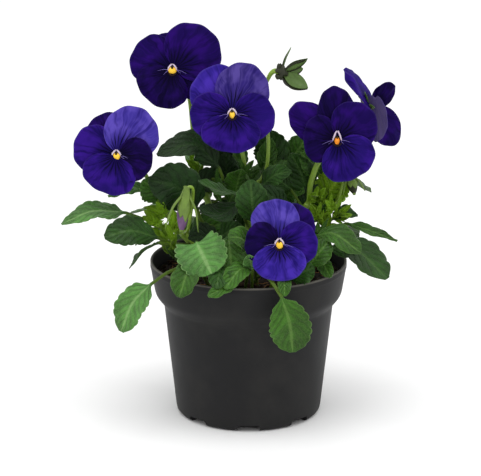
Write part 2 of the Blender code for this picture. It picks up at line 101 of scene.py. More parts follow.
class Wiring:
    """A shader tree that is being wired.

    Attributes:
        tree: the node tree.
    """

    def __init__(self, tree: bpy.types.NodeTree) -> None:
        """Start on a tree."""
        self.tree = tree

    def feed(self, socket: Socket, value: Any) -> None:
        """Link a socket into an input, or set the input to a plain value."""
        if isinstance(value, Socket):
            self.tree.links.new(value, socket)
        else:
            socket.default_value = value

    def node(self, kind: str, inputs: dict | None = None, **settings: Any) -> bpy.types.Node:
        """Add a shader node.

        Args:
            kind: the node's type without its ShaderNode prefix.
            inputs: values or sockets by input name or index.
            settings: the node's own properties.

        Returns:
            The node.
        """
        node = self.tree.nodes.new("ShaderNode" + kind)
        for name, value in settings.items():
            setattr(node, name, value)
        for key, value in (inputs or {}).items():
            self.feed(node.inputs[key], value)
        return node

    def math(self, operation: str, *values: Any) -> Socket:
        """Return the result of a math node."""
        return self.node("Math", dict(enumerate(values)), operation=operation).outputs[0]

    def times(self, first: Any, second: Any) -> Socket:
        """Return the product of two values."""
        return self.math("MULTIPLY", first, second)

    def plus(self, first: Any, second: Any) -> Socket:
        """Return the sum of two values."""
        return self.math("ADD", first, second)

    def minus(self, first: Any, second: Any) -> Socket:
        """Return the first value less the second."""
        return self.math("SUBTRACT", first, second)

    def step(self, value: Any, low: Any, high: Any, first: Any = 0.0, last: Any = 1.0) -> Socket:
        """Return a smooth step from first at low to last at high."""
        inputs = {"Value": value, "From Min": low, "From Max": high, "To Min": first, "To Max": last}
        return self.node("MapRange", inputs, interpolation_type="SMOOTHSTEP").outputs[0]

    def mix(self, share: Any, first: Any, second: Any) -> Socket:
        """Return a mix of two colours."""
        return self.node("Mix", {0: share, 6: first, 7: second}, data_type="RGBA").outputs[2]

    def scaled(self, colour: Any, factor: Any) -> Socket:
        """Return a colour made lighter or darker by a factor."""
        return self.node("VectorMath", {0: colour, "Scale": factor}, operation="SCALE").outputs[0]

    def give(self, end: bpy.types.Node, colour: Any, roughness: Any, height: Any) -> None:
        """Feed the three outputs of a group."""
        for label, value in (("Colour", colour), ("Roughness", roughness), ("Height", height)):
            self.feed(end.inputs[label], value)

    def noise(self, vector: Any, scale: Any, detail: float = 3.0, rough: float = 0.55) -> Socket:
        """Return noise from 0 to 1 over a vector."""
        inputs = {"Vector": vector, "Scale": scale, "Detail": detail, "Roughness": rough}
        return self.node("TexNoise", inputs).outputs[0]

    def place(self) -> Socket:
        """Return the place on the piece, in metres."""
        return self.node("TexCoord").outputs["Object"]

    def spots(self) -> tuple[Socket, ...]:
        """Return the side from -1 to 1, its distance from the middle, the place along, and the underside."""
        map_node = self.node("UVMap", uv_map=SPOTS)
        parts = self.node("SeparateXYZ", {0: map_node.outputs[0]})
        under = self.step(parts.outputs[0], 1.4, 1.6)
        folded = self.minus(parts.outputs[0], self.times(under, 2.0))
        side = self.minus(self.times(folded, 2.0), 1.0)
        return side, self.math("ABSOLUTE", side), parts.outputs[1], under

    def vector(self, *parts: Any) -> Socket:
        """Return a vector from up to three parts."""
        return self.node("CombineXYZ", dict(enumerate(parts))).outputs[0]

    def group(self, tree: bpy.types.NodeTree, **inputs: Any) -> bpy.types.Node:
        """Place a node group, with its inputs by name, an underscore standing for a space."""
        named = {name.replace("_", " "): value for name, value in inputs.items()}
        return self.node("Group", named, node_tree=tree)


def new_group(name: str, inputs: dict[str, Any]) -> tuple[Wiring, dict[str, Socket], bpy.types.Node]:
    """Start a node group whose outputs are Colour, Roughness and Height.

    Args:
        name: the group's name.
        inputs: the default of each input, a colour where it has four parts.

    Returns:
        The group's wiring, its inputs as sockets by name, and its output node.
    """
    tree = bpy.data.node_groups.new(name, "ShaderNodeTree")
    for label, default in inputs.items():
        kind = "NodeSocketColor" if isinstance(default, tuple) else "NodeSocketFloat"
        tree.interface.new_socket(label, in_out="INPUT", socket_type=kind).default_value = default
    for label, kind in (("Colour", "Color"), ("Roughness", "Float"), ("Height", "Float")):
        tree.interface.new_socket(label, in_out="OUTPUT", socket_type="NodeSocket" + kind)
    start = tree.nodes.new("NodeGroupInput")
    end = tree.nodes.new("NodeGroupOutput")
    return Wiring(tree), {label: start.outputs[label] for label in inputs}, end


def built_once(name: str) -> bpy.types.NodeTree | None:
    """Return a node group that was built before, if there is one."""
    return bpy.data.node_groups.get(name)


WHITE: Colour = (1.0, 1.0, 1.0, 1.0)
RAY = tint(7, 3, 26)  # the dark rays about a throat


def mottle_group() -> bpy.types.NodeTree:
    """Return the group that breaks a colour into soft lighter and darker patches."""
    name = "mottle"
    if built_once(name):
        return built_once(name)
    inputs = {"Colour": WHITE, "Patch Size": 8.0, "Strength": 0.3}
    wires, given, end = new_group(name, inputs)
    scale = wires.math("DIVIDE", 1 / MM, given["Patch Size"])
    broad = wires.noise(wires.place(), scale, 3.0)
    fine = wires.noise(wires.place(), wires.times(scale, 6.0), 2.0)
    both = wires.plus(wires.times(broad, 0.7), wires.times(fine, 0.3))
    shift = wires.times(wires.minus(both, 0.5), wires.times(given["Strength"], 4.0))
    factor = wires.plus(1.0, shift)
    scaled = wires.scaled(given["Colour"], factor)
    wires.give(end, scaled, wires.step(fine, 0.2, 0.8, 0.4, 0.6), both)
    return wires.tree


def leaf_group() -> bpy.types.NodeTree:
    """Return the group that draws a leaf's veins, rim, underside and stalk, with painted shade down the vein
    grooves, painted light on the bulges between, and broad patches of painted sheen and shade.
    """
    name = "leaf veins"
    if built_once(name):
        return built_once(name)
    inputs = {"Blade": WHITE, "Vein": WHITE, "Under": WHITE, "Rim": WHITE, "Stalk": WHITE,
              "Vein Count": 7.0, "Vein Sweep": 1.6, "Vein Strength": 0.5, "Gloss": 0.4}
    wires, given, end = new_group(name, inputs)
    _, beside, along, under = wires.spots()
    patchy = wires.group(mottle_group(), Colour=given["Blade"], Patch_Size=6.0, Strength=0.28)
    # painted sheen and shade: broad random patches, up to 22 % lighter and 28 % darker, over the blade
    sheen_and_shade_patches = wires.step(wires.noise(wires.place(), 42.0, 2.0), 0.36, 0.64, 0.72, 1.22)
    blade = wires.scaled(patchy.outputs["Colour"], sheen_and_shade_patches)
    rank = wires.minus(wires.times(along, given["Vein Count"]), wires.times(beside, given["Vein Sweep"]))
    wander = wires.noise(wires.place(), 160.0, 2.0)
    rank = wires.plus(rank, wires.times(wires.minus(wander, 0.5), 0.9))
    off = wires.minus(0.5, wires.math("PINGPONG", rank, 0.5))
    lateral = wires.times(wires.step(off, 0.0, 0.16, 1.0, 0.0), wires.step(beside, 0.72, 0.97, 1.0, 0.0))
    midrib = wires.step(beside, 0.03, 0.12, 1.0, 0.0)
    cells = wires.node("TexVoronoi", {"Vector": wires.place(), "Scale": 520.0}, feature="DISTANCE_TO_EDGE")
    net = wires.step(cells.outputs["Distance"], 0.0, 0.12, 1.0, 0.0)
    strength = given["Vein Strength"]
    colour = wires.mix(wires.times(net, 0.16), blade, given["Vein"])
    # painted shade: darker down the lateral vein grooves, lighter on the quilted bulges between them
    groove_shade = wires.times(wires.step(off, 0.0, 0.42, 1.0, 0.0), wires.step(beside, 0.05, 0.3))
    shade = wires.scaled(colour, wires.step(groove_shade, 0.0, 1.0, 1.08, 0.8))
    colour = wires.mix(wires.times(lateral, wires.times(strength, 0.4)), shade, given["Vein"])
    colour = wires.mix(wires.times(midrib, wires.times(strength, 1.5)), colour, given["Vein"])
    colour = wires.mix(wires.step(beside, 0.94, 1.0, 0.0, 0.7), colour, given["Rim"])
    colour = wires.mix(wires.times(under, 0.8), colour, given["Under"])
    colour = wires.mix(wires.step(along, -0.03, 0.05, 1.0, 0.0), colour, given["Stalk"])
    rough = wires.plus(given["Gloss"], wires.times(net, 0.08))
    ridge = wires.plus(wires.times(lateral, -0.8), wires.times(net, -0.25))
    pebble = wires.times(patchy.outputs["Height"], 0.8)
    wires.give(end, colour, rough, wires.plus(ridge, pebble))
    return wires.tree


def petal_group() -> bpy.types.NodeTree:
    """Return the group that draws a petal's streaks, throat rays, pale margin and back."""
    name = "petal streaks"
    if built_once(name):
        return built_once(name)
    inputs = {"Core": WHITE, "Body": WHITE, "Flush": WHITE, "Margin": WHITE, "Back": WHITE,
              "Streaks": 0.5, "Margin Strength": 0.3, "Seed": 0.0}
    wires, given, end = new_group(name, inputs)
    side, _, along, under = wires.spots()
    seed = given["Seed"]
    wander = wires.noise(wires.vector(side, along, seed), 2.2, 2.0)
    bent = wires.plus(side, wires.times(wires.minus(wander, 0.5), 0.22))
    streak = wires.noise(wires.vector(wires.times(bent, 9.0), along, seed), 1.0, 3.0, 0.6)
    fine = wires.noise(wires.vector(wires.times(bent, 34.0), along, seed), 1.0, 2.0)
    broad = wires.noise(wires.vector(side, along, wires.plus(seed, 7.0)), 2.6, 2.0)
    ray = wires.step(wires.math("PINGPONG", wires.times(bent, 6.0), 0.5), 0.06, 0.26, 1.0, 0.0)
    reach = wires.plus(along, wires.times(wires.minus(fine, 0.5), 0.5))
    near = wires.times(wires.step(reach, 0.22, 0.6, 1.0, 0.0), wires.step(along, 0.03, 0.1))
    colour = wires.mix(wires.step(along, 0.04, 0.6), given["Core"], given["Body"])
    flush = wires.times(wires.step(broad, 0.4, 0.66), wires.step(along, 0.2, 0.7))
    colour = wires.mix(flush, colour, given["Flush"])
    dark = wires.times(wires.step(streak, 0.46, 0.66), given["Streaks"])
    colour = wires.mix(dark, colour, given["Core"])
    light = wires.times(wires.step(fine, 0.5, 0.7), wires.times(given["Streaks"], 0.6))
    colour = wires.mix(light, colour, given["Flush"])
    colour = wires.mix(wires.times(ray, near), colour, RAY)
    brink = wires.step(wires.plus(along, wires.times(broad, 0.03)), 0.965, 1.01)
    colour = wires.mix(wires.times(brink, given["Margin Strength"]), colour, given["Margin"])
    veined = wires.mix(wires.step(fine, 0.45, 0.7, 0.0, 0.5), given["Back"], given["Body"])
    colour = wires.mix(under, colour, veined)
    rough = wires.step(streak, 0.3, 0.7, 0.48, 0.62)
    wires.give(end, colour, rough, wires.plus(wires.times(fine, 0.6), streak))
    return wires.tree


def moulded_group() -> bpy.types.NodeTree:
    """Return the group for moulded plastic: fine grain, faint flow lines, dust and water marks, and a painted
    highlight just under the rim's top edge.
    """
    name = "moulded plastic"
    if built_once(name):
        return built_once(name)
    inputs = {"Plastic": WHITE, "Dust": WHITE, "Dust Strength": 0.2, "Lip Height": 0.1}
    wires, given, end = new_group(name, inputs)
    place = wires.place()
    parts = wires.node("SeparateXYZ", {0: place})
    grain = wires.noise(place, 2600.0, 2.0)
    cloud = wires.noise(place, 26.0, 4.0, 0.62)
    flow_place = wires.vector(parts.outputs[0], parts.outputs[1], wires.times(parts.outputs[2], 0.12))
    flow = wires.noise(flow_place, 150.0, 2.0)
    foot = wires.step(parts.outputs[2], 0.0, 0.03, 0.35, 0.0)
    dusty = wires.times(wires.plus(wires.step(cloud, 0.42, 0.75), foot), given["Dust Strength"])
    speck = wires.times(wires.step(grain, 0.62, 0.75), 0.1)
    # painted highlight: a pale band in the dust colour just under the rim's top edge
    lip = wires.step(wires.minus(parts.outputs[2], given["Lip Height"]), -0.0014, -0.0004, 0.0, 1.0)
    colour = wires.mix(wires.plus(wires.plus(dusty, speck), lip), given["Plastic"], given["Dust"])
    rough = wires.plus(wires.step(cloud, 0.3, 0.7, 0.46, 0.56), wires.times(flow, 0.06))
    wires.give(end, colour, rough, wires.plus(grain, wires.times(flow, 0.8)))
    return wires.tree


@dataclass(frozen=True)
class Finish:
    """A surface finish.

    Attributes:
        name: the material's name.
    """

    name: str

    def material(self) -> bpy.types.Material:
        """Return the finish as a material, made the first time that it is asked for."""
        made = bpy.data.materials.get(self.name)
        if made is None:
            made = bpy.data.materials.new(self.name)
            made.use_nodes = True
            made.node_tree.nodes.clear()
            wires = Wiring(made.node_tree)
            shader = wires.node("BsdfPrincipled")
            wires.node("OutputMaterial", {"Surface": shader.outputs[0]})
            self.dress(wires, shader)
        return made

    def dress(self, wires: Wiring, shader: bpy.types.Node) -> None:
        """Feed the shader; each kind of finish has its own."""
        raise NotImplementedError

    @staticmethod
    def lay(wires: Wiring, shader: bpy.types.Node, pattern: bpy.types.Node, depth: float,
            roughness: Any = None) -> None:
        """Feed a pattern's colour, roughness and height to the shader.

        Args:
            wires: the material's wiring.
            shader: the material's shader.
            pattern: the placed node group.
            depth: how deep its relief is, in millimetres.
            roughness: a plain roughness, in place of the pattern's own.
        """
        wires.feed(shader.inputs["Base Color"], pattern.outputs["Colour"])
        rough = pattern.outputs["Roughness"] if roughness is None else roughness
        wires.feed(shader.inputs["Roughness"], rough)
        relief = {"Height": pattern.outputs["Height"], "Distance": depth * MM, "Strength": 0.8}
        bump = wires.node("Bump", relief)
        wires.feed(shader.inputs["Normal"], bump.outputs[0])


@dataclass(frozen=True)
class PlainFinish(Finish):
    """A mottled finish for stems, hairs, crumbs and the like.

    Attributes:
        colour: its colour.
        patch: the size of its patches, in millimetres.
        strength: how strong the patches are.
        roughness: its roughness.
        depth: the depth of its relief, in millimetres.
        gloss: its specular level.
    """

    colour: Colour
    patch: float = 4.0
    strength: float = 0.3
    roughness: float = 0.5
    depth: float = 0.1
    gloss: float = 0.4

    def dress(self, wires: Wiring, shader: bpy.types.Node) -> None:
        """Feed the shader."""
        pattern = wires.group(mottle_group(), Colour=self.colour, Patch_Size=self.patch,
                              Strength=self.strength)
        self.lay(wires, shader, pattern, self.depth, self.roughness)
        shader.inputs["Specular IOR Level"].default_value = self.gloss


@dataclass(frozen=True)
class LeafFinish(Finish):
    """A leaf's finish.

    Attributes:
        blade: the upper side's colour.
        vein: the colour of its veins.
        under: the underside's colour.
        strength: how strongly the veins show.
        gloss: the roughness of the upper side.
    """

    blade: Colour
    vein: Colour
    under: Colour
    strength: float = 0.45
    gloss: float = 0.4

    def dress(self, wires: Wiring, shader: bpy.types.Node) -> None:
        """Feed the shader."""
        pattern = wires.group(leaf_group(), Blade=self.blade, Vein=self.vein, Under=self.under, Rim=self.vein,
                              Stalk=LEAF_STALK, Vein_Count=float(VEIN_COUNT), Vein_Sweep=VEIN_SWEEP,
                              Vein_Strength=self.strength, Gloss=self.gloss)
        self.lay(wires, shader, pattern, 0.5)
        shader.inputs["Specular IOR Level"].default_value = 0.18
        shader.inputs["Sheen Weight"].default_value = 0.04
        shader.inputs["Sheen Roughness"].default_value = 0.5


@dataclass(frozen=True)
class PetalFinish(Finish):
    """A petal's finish.

    Attributes:
        core: the dark colour near the throat and in the streaks.
        body: the colour of most of the petal.
        flush: the brighter colour that it flushes to.
        streaks: how strongly the streaks show.
        velvet: how much sheen it has.
        seed: which pattern of streaks it has.
        margin: how strongly its pale margin shows.
    """

    core: Colour
    body: Colour
    flush: Colour
    streaks: float = 0.5
    velvet: float = 0.25
    seed: float = 0.0
    margin: float = 0.3

    def dress(self, wires: Wiring, shader: bpy.types.Node) -> None:
        """Feed the shader."""
        pattern = wires.group(petal_group(), Core=self.core, Body=self.body, Flush=self.flush,
                              Margin=PETAL_MARGIN, Back=PETAL_BACK, Streaks=self.streaks,
                              Margin_Strength=self.margin, Seed=self.seed)
        self.lay(wires, shader, pattern, 0.14)
        shader.inputs["Specular IOR Level"].default_value = 0.03
        shader.inputs["Sheen Weight"].default_value = self.velvet
        shader.inputs["Sheen Roughness"].default_value = 0.45
        shader.inputs["Sheen Tint"].default_value = tint(170, 150, 255)


@dataclass(frozen=True)
class PlasticFinish(Finish):
    """Moulded plastic.

    Attributes:
        plastic: the plastic's colour.
        dust_and_highlight: the colour of the dust on it, and of the painted highlight under its rim's top
            edge.
        lip: the height of its lip, under which the highlight is painted, in metres.
    """

    plastic: Colour
    dust_and_highlight: Colour
    lip: float = 0.096

    def dress(self, wires: Wiring, shader: bpy.types.Node) -> None:
        """Feed the shader."""
        pattern = wires.group(moulded_group(), Plastic=self.plastic, Dust=self.dust_and_highlight, Dust_Strength=0.1,
                              Lip_Height=self.lip)
        self.lay(wires, shader, pattern, 0.03)
        shader.inputs["Specular IOR Level"].default_value = 0.12


VEIN_COUNT = 6
VEIN_SWEEP = 2.3
LEAF_STALK = tint(78, 104, 26)
PETAL_MARGIN = tint(88, 72, 152)
PETAL_BACK = tint(82, 72, 112)
PETAL_STREAKS = 0.7

CHARCOAL = PlasticFinish("charcoal_plastic", tint(30, 30, 31), tint(86, 84, 78))
COMPOST = PlainFinish("compost", tint(27, 19, 13), 3.0, 0.5, 0.9, 0.8, 0.2)
CRUMB = PlainFinish("compost_crumb", tint(44, 30, 20), 2.0, 0.5, 0.9, 0.4, 0.2)
STRAW = PlainFinish("dry_fibre", tint(128, 92, 54), 2.0, 0.4, 0.85, 0.1, 0.2)
STEM = PlainFinish("green_stem", tint(120, 152, 46), 3.0, 0.22, 0.36, 0.12, 0.45)
CALYX = PlainFinish("calyx", tint(74, 100, 44), 2.0, 0.3, 0.5, 0.12, 0.3)
SEPAL_PALE = PlainFinish("pale_sepal", tint(96, 122, 44), 3.0, 0.25, 0.45, 0.1, 0.4)
SEPAL_DARK = PlainFinish("dark_sepal", tint(36, 40, 22), 2.0, 0.3, 0.5, 0.1, 0.3)
BUD_MAUVE = PlainFinish("bud_mauve", tint(104, 74, 112), 2.0, 0.35, 0.5, 0.1, 0.3)
YELLOW = PlainFinish("throat_yellow", tint(250, 200, 60), 1.2, 0.16, 0.5, 0.1, 0.3)
ORANGE = PlainFinish("throat_orange", tint(236, 140, 30), 1.2, 0.2, 0.5, 0.1, 0.3)
BEARD = PlainFinish("white_beard", tint(206, 190, 208), 0.8, 0.12, 0.7, 0.1, 0.2)
WHISKER = PlainFinish("pale_whisker", tint(112, 98, 168), 0.8, 0.1, 0.6, 0.05, 0.2)
# painted shade: the dark lump in the throat's mouth stands for the shaded opening
MOUTH_SHADE = PlainFinish("throat_mouth_shade", tint(40, 26, 10), 0.6, 0.3, 0.6, 0.1, 0.2)
MAROON = PlainFinish("throat_maroon", tint(26, 4, 16), 0.8, 0.3, 0.6, 0.1, 0.2)


class LeafTone(Enum):
    """How light a leaf is; the darkest tone also paints the shade on leaves deep in the foliage."""

    FRESH = LeafFinish("leaf_fresh", tint(70, 116, 50), tint(132, 168, 104), tint(100, 132, 78), 0.4, 0.32)
    MID = LeafFinish("leaf_mid", tint(48, 88, 20), tint(98, 134, 62), tint(78, 110, 54), 0.36, 0.32)
    DEEP = LeafFinish("leaf_deep", tint(30, 64, 12), tint(70, 102, 46), tint(58, 86, 40), 0.32, 0.34)
    # the darkest tone is partly painted shade, for leaves deep in the foliage
    DARK = LeafFinish("leaf_dark", tint(17, 44, 8), tint(44, 70, 30), tint(44, 68, 30), 0.28, 0.38)
    LIME = LeafFinish("leaf_lime", tint(104, 146, 16), tint(158, 190, 60), tint(106, 138, 40), 0.3, 0.36)


@dataclass(frozen=True)
class PetalColours:
    """The colours of a petal: near its throat, over its body, where it flushes, and its sheen and margin."""

    core: Colour
    body: Colour
    flush: Colour
    velvet: float
    margin: float

    def finish(self, name: str, seed: float) -> PetalFinish:
        """Return a petal's finish in these colours."""
        return PetalFinish(name, self.core, self.body, self.flush, PETAL_STREAKS, self.velvet, seed,
                           self.margin)


class PetalTone(Enum):
    """How dark a petal is; the lilac and slate tones are paler partly as a painted sheen."""

    INK = PetalColours(tint(6, 2, 30), tint(16, 5, 54), tint(28, 7, 78), 0.01, 0.05)
    NIGHT = PetalColours(tint(9, 3, 44), tint(23, 7, 72), tint(38, 9, 98), 0.02, 0.1)
    VIOLET = PetalColours(tint(12, 5, 60), tint(30, 14, 94), tint(46, 19, 120), 0.03, 0.16)
    ROYAL = PetalColours(tint(18, 9, 76), tint(42, 27, 122), tint(64, 42, 156), 0.05, 0.25)
    # the lilac and slate tones are paler partly as a painted sheen, for petals that face up to the light
    SHEEN_LILAC = PetalColours(tint(28, 18, 96), tint(58, 46, 138), tint(86, 70, 168), 0.08, 0.3)
    SHEEN_SLATE = PetalColours(tint(20, 12, 78), tint(46, 34, 108), tint(78, 64, 138), 0.08, 0.25)


# -------------------------------------------------------------------------------------- meshes

TUBE_SIDE = Vector((1.0, 0.13, 0.07))  # askew, so that no tube starts along it


def add_object(name: str, data: bpy.types.ID) -> bpy.types.Object:
    """Return a new object of the scene that holds a mesh, a lamp or a camera."""
    made = bpy.data.objects.new(name, data)
    bpy.context.scene.collection.objects.link(made)
    return made


def scattered(rng: random.Random, low: float, high: float) -> Vector:
    """Return a vector with three random parts between low and high."""
    return Vector([rng.uniform(low, high) for _ in range(3)])


def both_sides(columns: int, along: float) -> list[tuple[float, float]]:
    """Return the map of a ring that runs over the upper side and back under the lower side."""
    marks = [k / (columns - 1) for k in range(columns)]
    return [(u, along) for u in marks] + [(u + 2, along) for u in reversed(marks)]


@dataclass
class Skin:
    """The points, faces and map of a mesh that is being made, in millimetres.

    Attributes:
        points: its points.
        spots: each point's place on the map.
        faces: its faces, as indices of points.
        slots: which finish each face has.
        slot: the finish of the faces that come next.
    """

    points: list[Vector] = field(default_factory=list)
    spots: list[tuple[float, float]] = field(default_factory=list)
    faces: list[tuple[int, ...]] = field(default_factory=list)
    slots: list[int] = field(default_factory=list)
    slot: int = 0

    def add_face(self, *corners: int) -> None:
        """Add a face with the current finish."""
        self.faces.append(corners)
        self.slots.append(self.slot)

    def loft(self, rings: Rows, spots: Marks | None = None) -> None:
        """Close a row of rings into one solid.

        Args:
            rings: rings with the same number of points.
            spots: the map of each ring, or None for once round in u and along in v.
        """
        count = len(rings[0])
        first = len(self.points)
        for row, ring in enumerate(rings):
            self.points += ring
            if spots:
                self.spots += spots[row]
            else:
                self.spots += [(k / count, row / (len(rings) - 1)) for k in range(count)]
        for row in range(len(rings) - 1):
            for k in range(count):
                a = first + row * count + k
                b = first + row * count + (k + 1) % count
                self.add_face(a, b, b + count, a + count)
        for row, flip in ((0, True), (len(rings) - 1, False)):
            ring = [first + row * count + k for k in range(count)]
            hub = len(self.points)
            self.points.append(sum((self.points[i] for i in ring), Vector()) / count)
            self.spots.append(self.spots[ring[0]])
            for k in range(count):
                pair = (ring[k], ring[(k + 1) % count])
                self.add_face(hub, *(reversed(pair) if flip else pair))

    def sheet(self, front: Rows, back: Rows, spots: Marks) -> None:
        """Close two grids, front and back, into one thin solid.

        Args:
            front: the front's rows of points.
            back: the back's rows of points.
            spots: the front's map; the back's is 2 further in u.
        """
        rows, columns = len(front), len(front[0])
        start = len(self.points)
        for grid, shift in ((front, 0.0), (back, 2.0)):
            for line, marks in zip(grid, spots):
                self.points += line
                self.spots += [(u + shift, v) for u, v in marks]
        size = rows * columns
        for i in range(rows - 1):
            for j in range(columns - 1):
                a = start + i * columns + j
                quad = (a, a + 1, a + 1 + columns, a + columns)
                self.add_face(*quad)
                self.add_face(*(corner + size for corner in reversed(quad)))
        rim = list(range(columns))
        rim += [i * columns + columns - 1 for i in range(1, rows)]
        rim += [(rows - 1) * columns + j for j in reversed(range(columns - 1))]
        rim += [i * columns for i in reversed(range(1, rows - 1))]
        for near, far in zip(rim, rim[1:] + rim[:1]):
            self.add_face(start + far, start + near, start + near + size, start + far + size)

    def tube(self, path: Sequence[Vector], radii: Sequence[float], points: int = 12) -> None:
        """Add a round tube along a path."""
        self.loft(tube_rings(path, radii, points, TUBE_SIDE))

    def lump(self, centre: Vector, size: Vector, rough: float, rng: random.Random, level: int = 1) -> None:
        """Add an uneven ball.

        Args:
            centre: its middle.
            size: its half sizes.
            rough: how uneven it is, as a share of its size.
            rng: where its unevenness comes from.
            level: how finely it is divided.
        """
        ball = bmesh.new()
        bmesh.ops.create_icosphere(ball, subdivisions=level, radius=1.0)
        seed = scattered(rng, 0, 50)
        turn = Matrix.Rotation(rng.uniform(0, math.tau), 3, "Z")
        first = len(self.points)
        for vert in ball.verts:
            reach = 1 + rough * noise.noise(vert.co * 1.4 + seed)
            self.points.append(centre + turn @ Vector([c * s * reach for c, s in zip(vert.co, size)]))
            self.spots.append((0.5, 0.5))
        for face in ball.faces:
            self.add_face(*(first + vert.index for vert in face.verts))
        ball.free()

    def build(self, name: str, *finishes: Finish) -> bpy.types.Object:
        """Make the mesh object.

        Args:
            name: the piece's name.
            finishes: its finishes, in the order of the slots.

        Returns:
            The object, in metres, with smooth faces that look outwards.
        """
        mesh = bpy.data.meshes.new(name)
        mesh.from_pydata([point * MM for point in self.points], [], self.faces)
        layer = mesh.uv_layers.new(name=SPOTS)
        flat = [0.0] * (2 * len(mesh.loops))
        for loop in mesh.loops:
            flat[2 * loop.index], flat[2 * loop.index + 1] = self.spots[loop.vertex_index]
        layer.data.foreach_set("uv", flat)
        for finish in finishes:
            mesh.materials.append(finish.material())
        mesh.polygons.foreach_set("material_index", self.slots)
        mesh.polygons.foreach_set("use_smooth", [True] * len(mesh.polygons))
        shape = bmesh.new()
        shape.from_mesh(mesh)
        bmesh.ops.recalc_face_normals(shape, faces=shape.faces)
        if shape.calc_volume(signed=True) < 0:
            bmesh.ops.reverse_faces(shape, faces=shape.faces)
        shape.to_mesh(mesh)
        shape.free()
        return add_object(name, mesh)


def settle(piece: bpy.types.Object, slot: Slot, *nodes: str) -> None:
    """Fix a piece to the planter's one body.

    Args:
        piece: the finished piece.
        slot: the material slot meant for its finish; not used.
        nodes: the frame's nodes that it stands for.
    """
    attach(piece, BODY)
    if nodes:
        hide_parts(*nodes)
    log.info("%s: %d faces, for %s", piece.name, len(piece.data.polygons), ", ".join(nodes) or "detail")


def smooth_path(points: Sequence[Vector], count: int) -> list[Vector]:
    """Read a smooth curve through points at evenly spaced places.

    Args:
        points: two or more points.
        count: how many places to return.

    Returns:
        The places.
    """
    knots = [2 * points[0] - points[1], *points, 2 * points[-1] - points[-2]]
    fine = []
    for a, b, c, d in zip(knots, knots[1:], knots[2:], knots[3:]):
        for step in range(12):
            t = step / 12
            fine.append(0.5 * ((2 * b) + (c - a) * t + (2 * a - 5 * b + 4 * c - d) * t**2
                               + (3 * b - a - 3 * c + d) * t**3))
    fine.append(points[-1])
    lengths = [0.0]
    for near, far in zip(fine, fine[1:]):
        lengths.append(lengths[-1] + (far - near).length)
    places = []
    index = 0
    for k in range(count):
        target = lengths[-1] * k / (count - 1)
        while index < len(fine) - 2 and lengths[index + 1] < target:
            index += 1
        span = lengths[index + 1] - lengths[index]
        places.append(fine[index].lerp(fine[index + 1], (target - lengths[index]) / span))
    return places


def tangents(path: Sequence[Vector]) -> list[Vector]:
    """Return the unit direction of travel at each point of a path."""
    ends = [path[0], *path, path[-1]]
    return [(after - before).normalized() for before, after in zip(ends, ends[2:])]


def tube_rings(path: Sequence[Vector], radii: Sequence[float], points: int,
               side: Vector) -> list[list[Vector]]:
    """Return rings along a path that don't twist about it.

    Args:
        path: the centre line.
        radii: one radius for each point of the path.
        points: how many points each ring has.
        side: a direction roughly across the start of the path.

    Returns:
        The rings.
    """
    rings = []
    heading = None
    for centre, direction, radius in zip(path, tangents(path), radii):
        if heading is not None:
            side = heading.rotation_difference(direction) @ side
        heading = direction
        side = (side - direction * side.dot(direction)).normalized()
        over = direction.cross(side)
        rings.append([centre + (side * math.cos(a) + over * math.sin(a)) * radius
                      for a in (math.tau * k / points for k in range(points))])
    return rings


# ---------------------------------------------------------------------------------------- pot


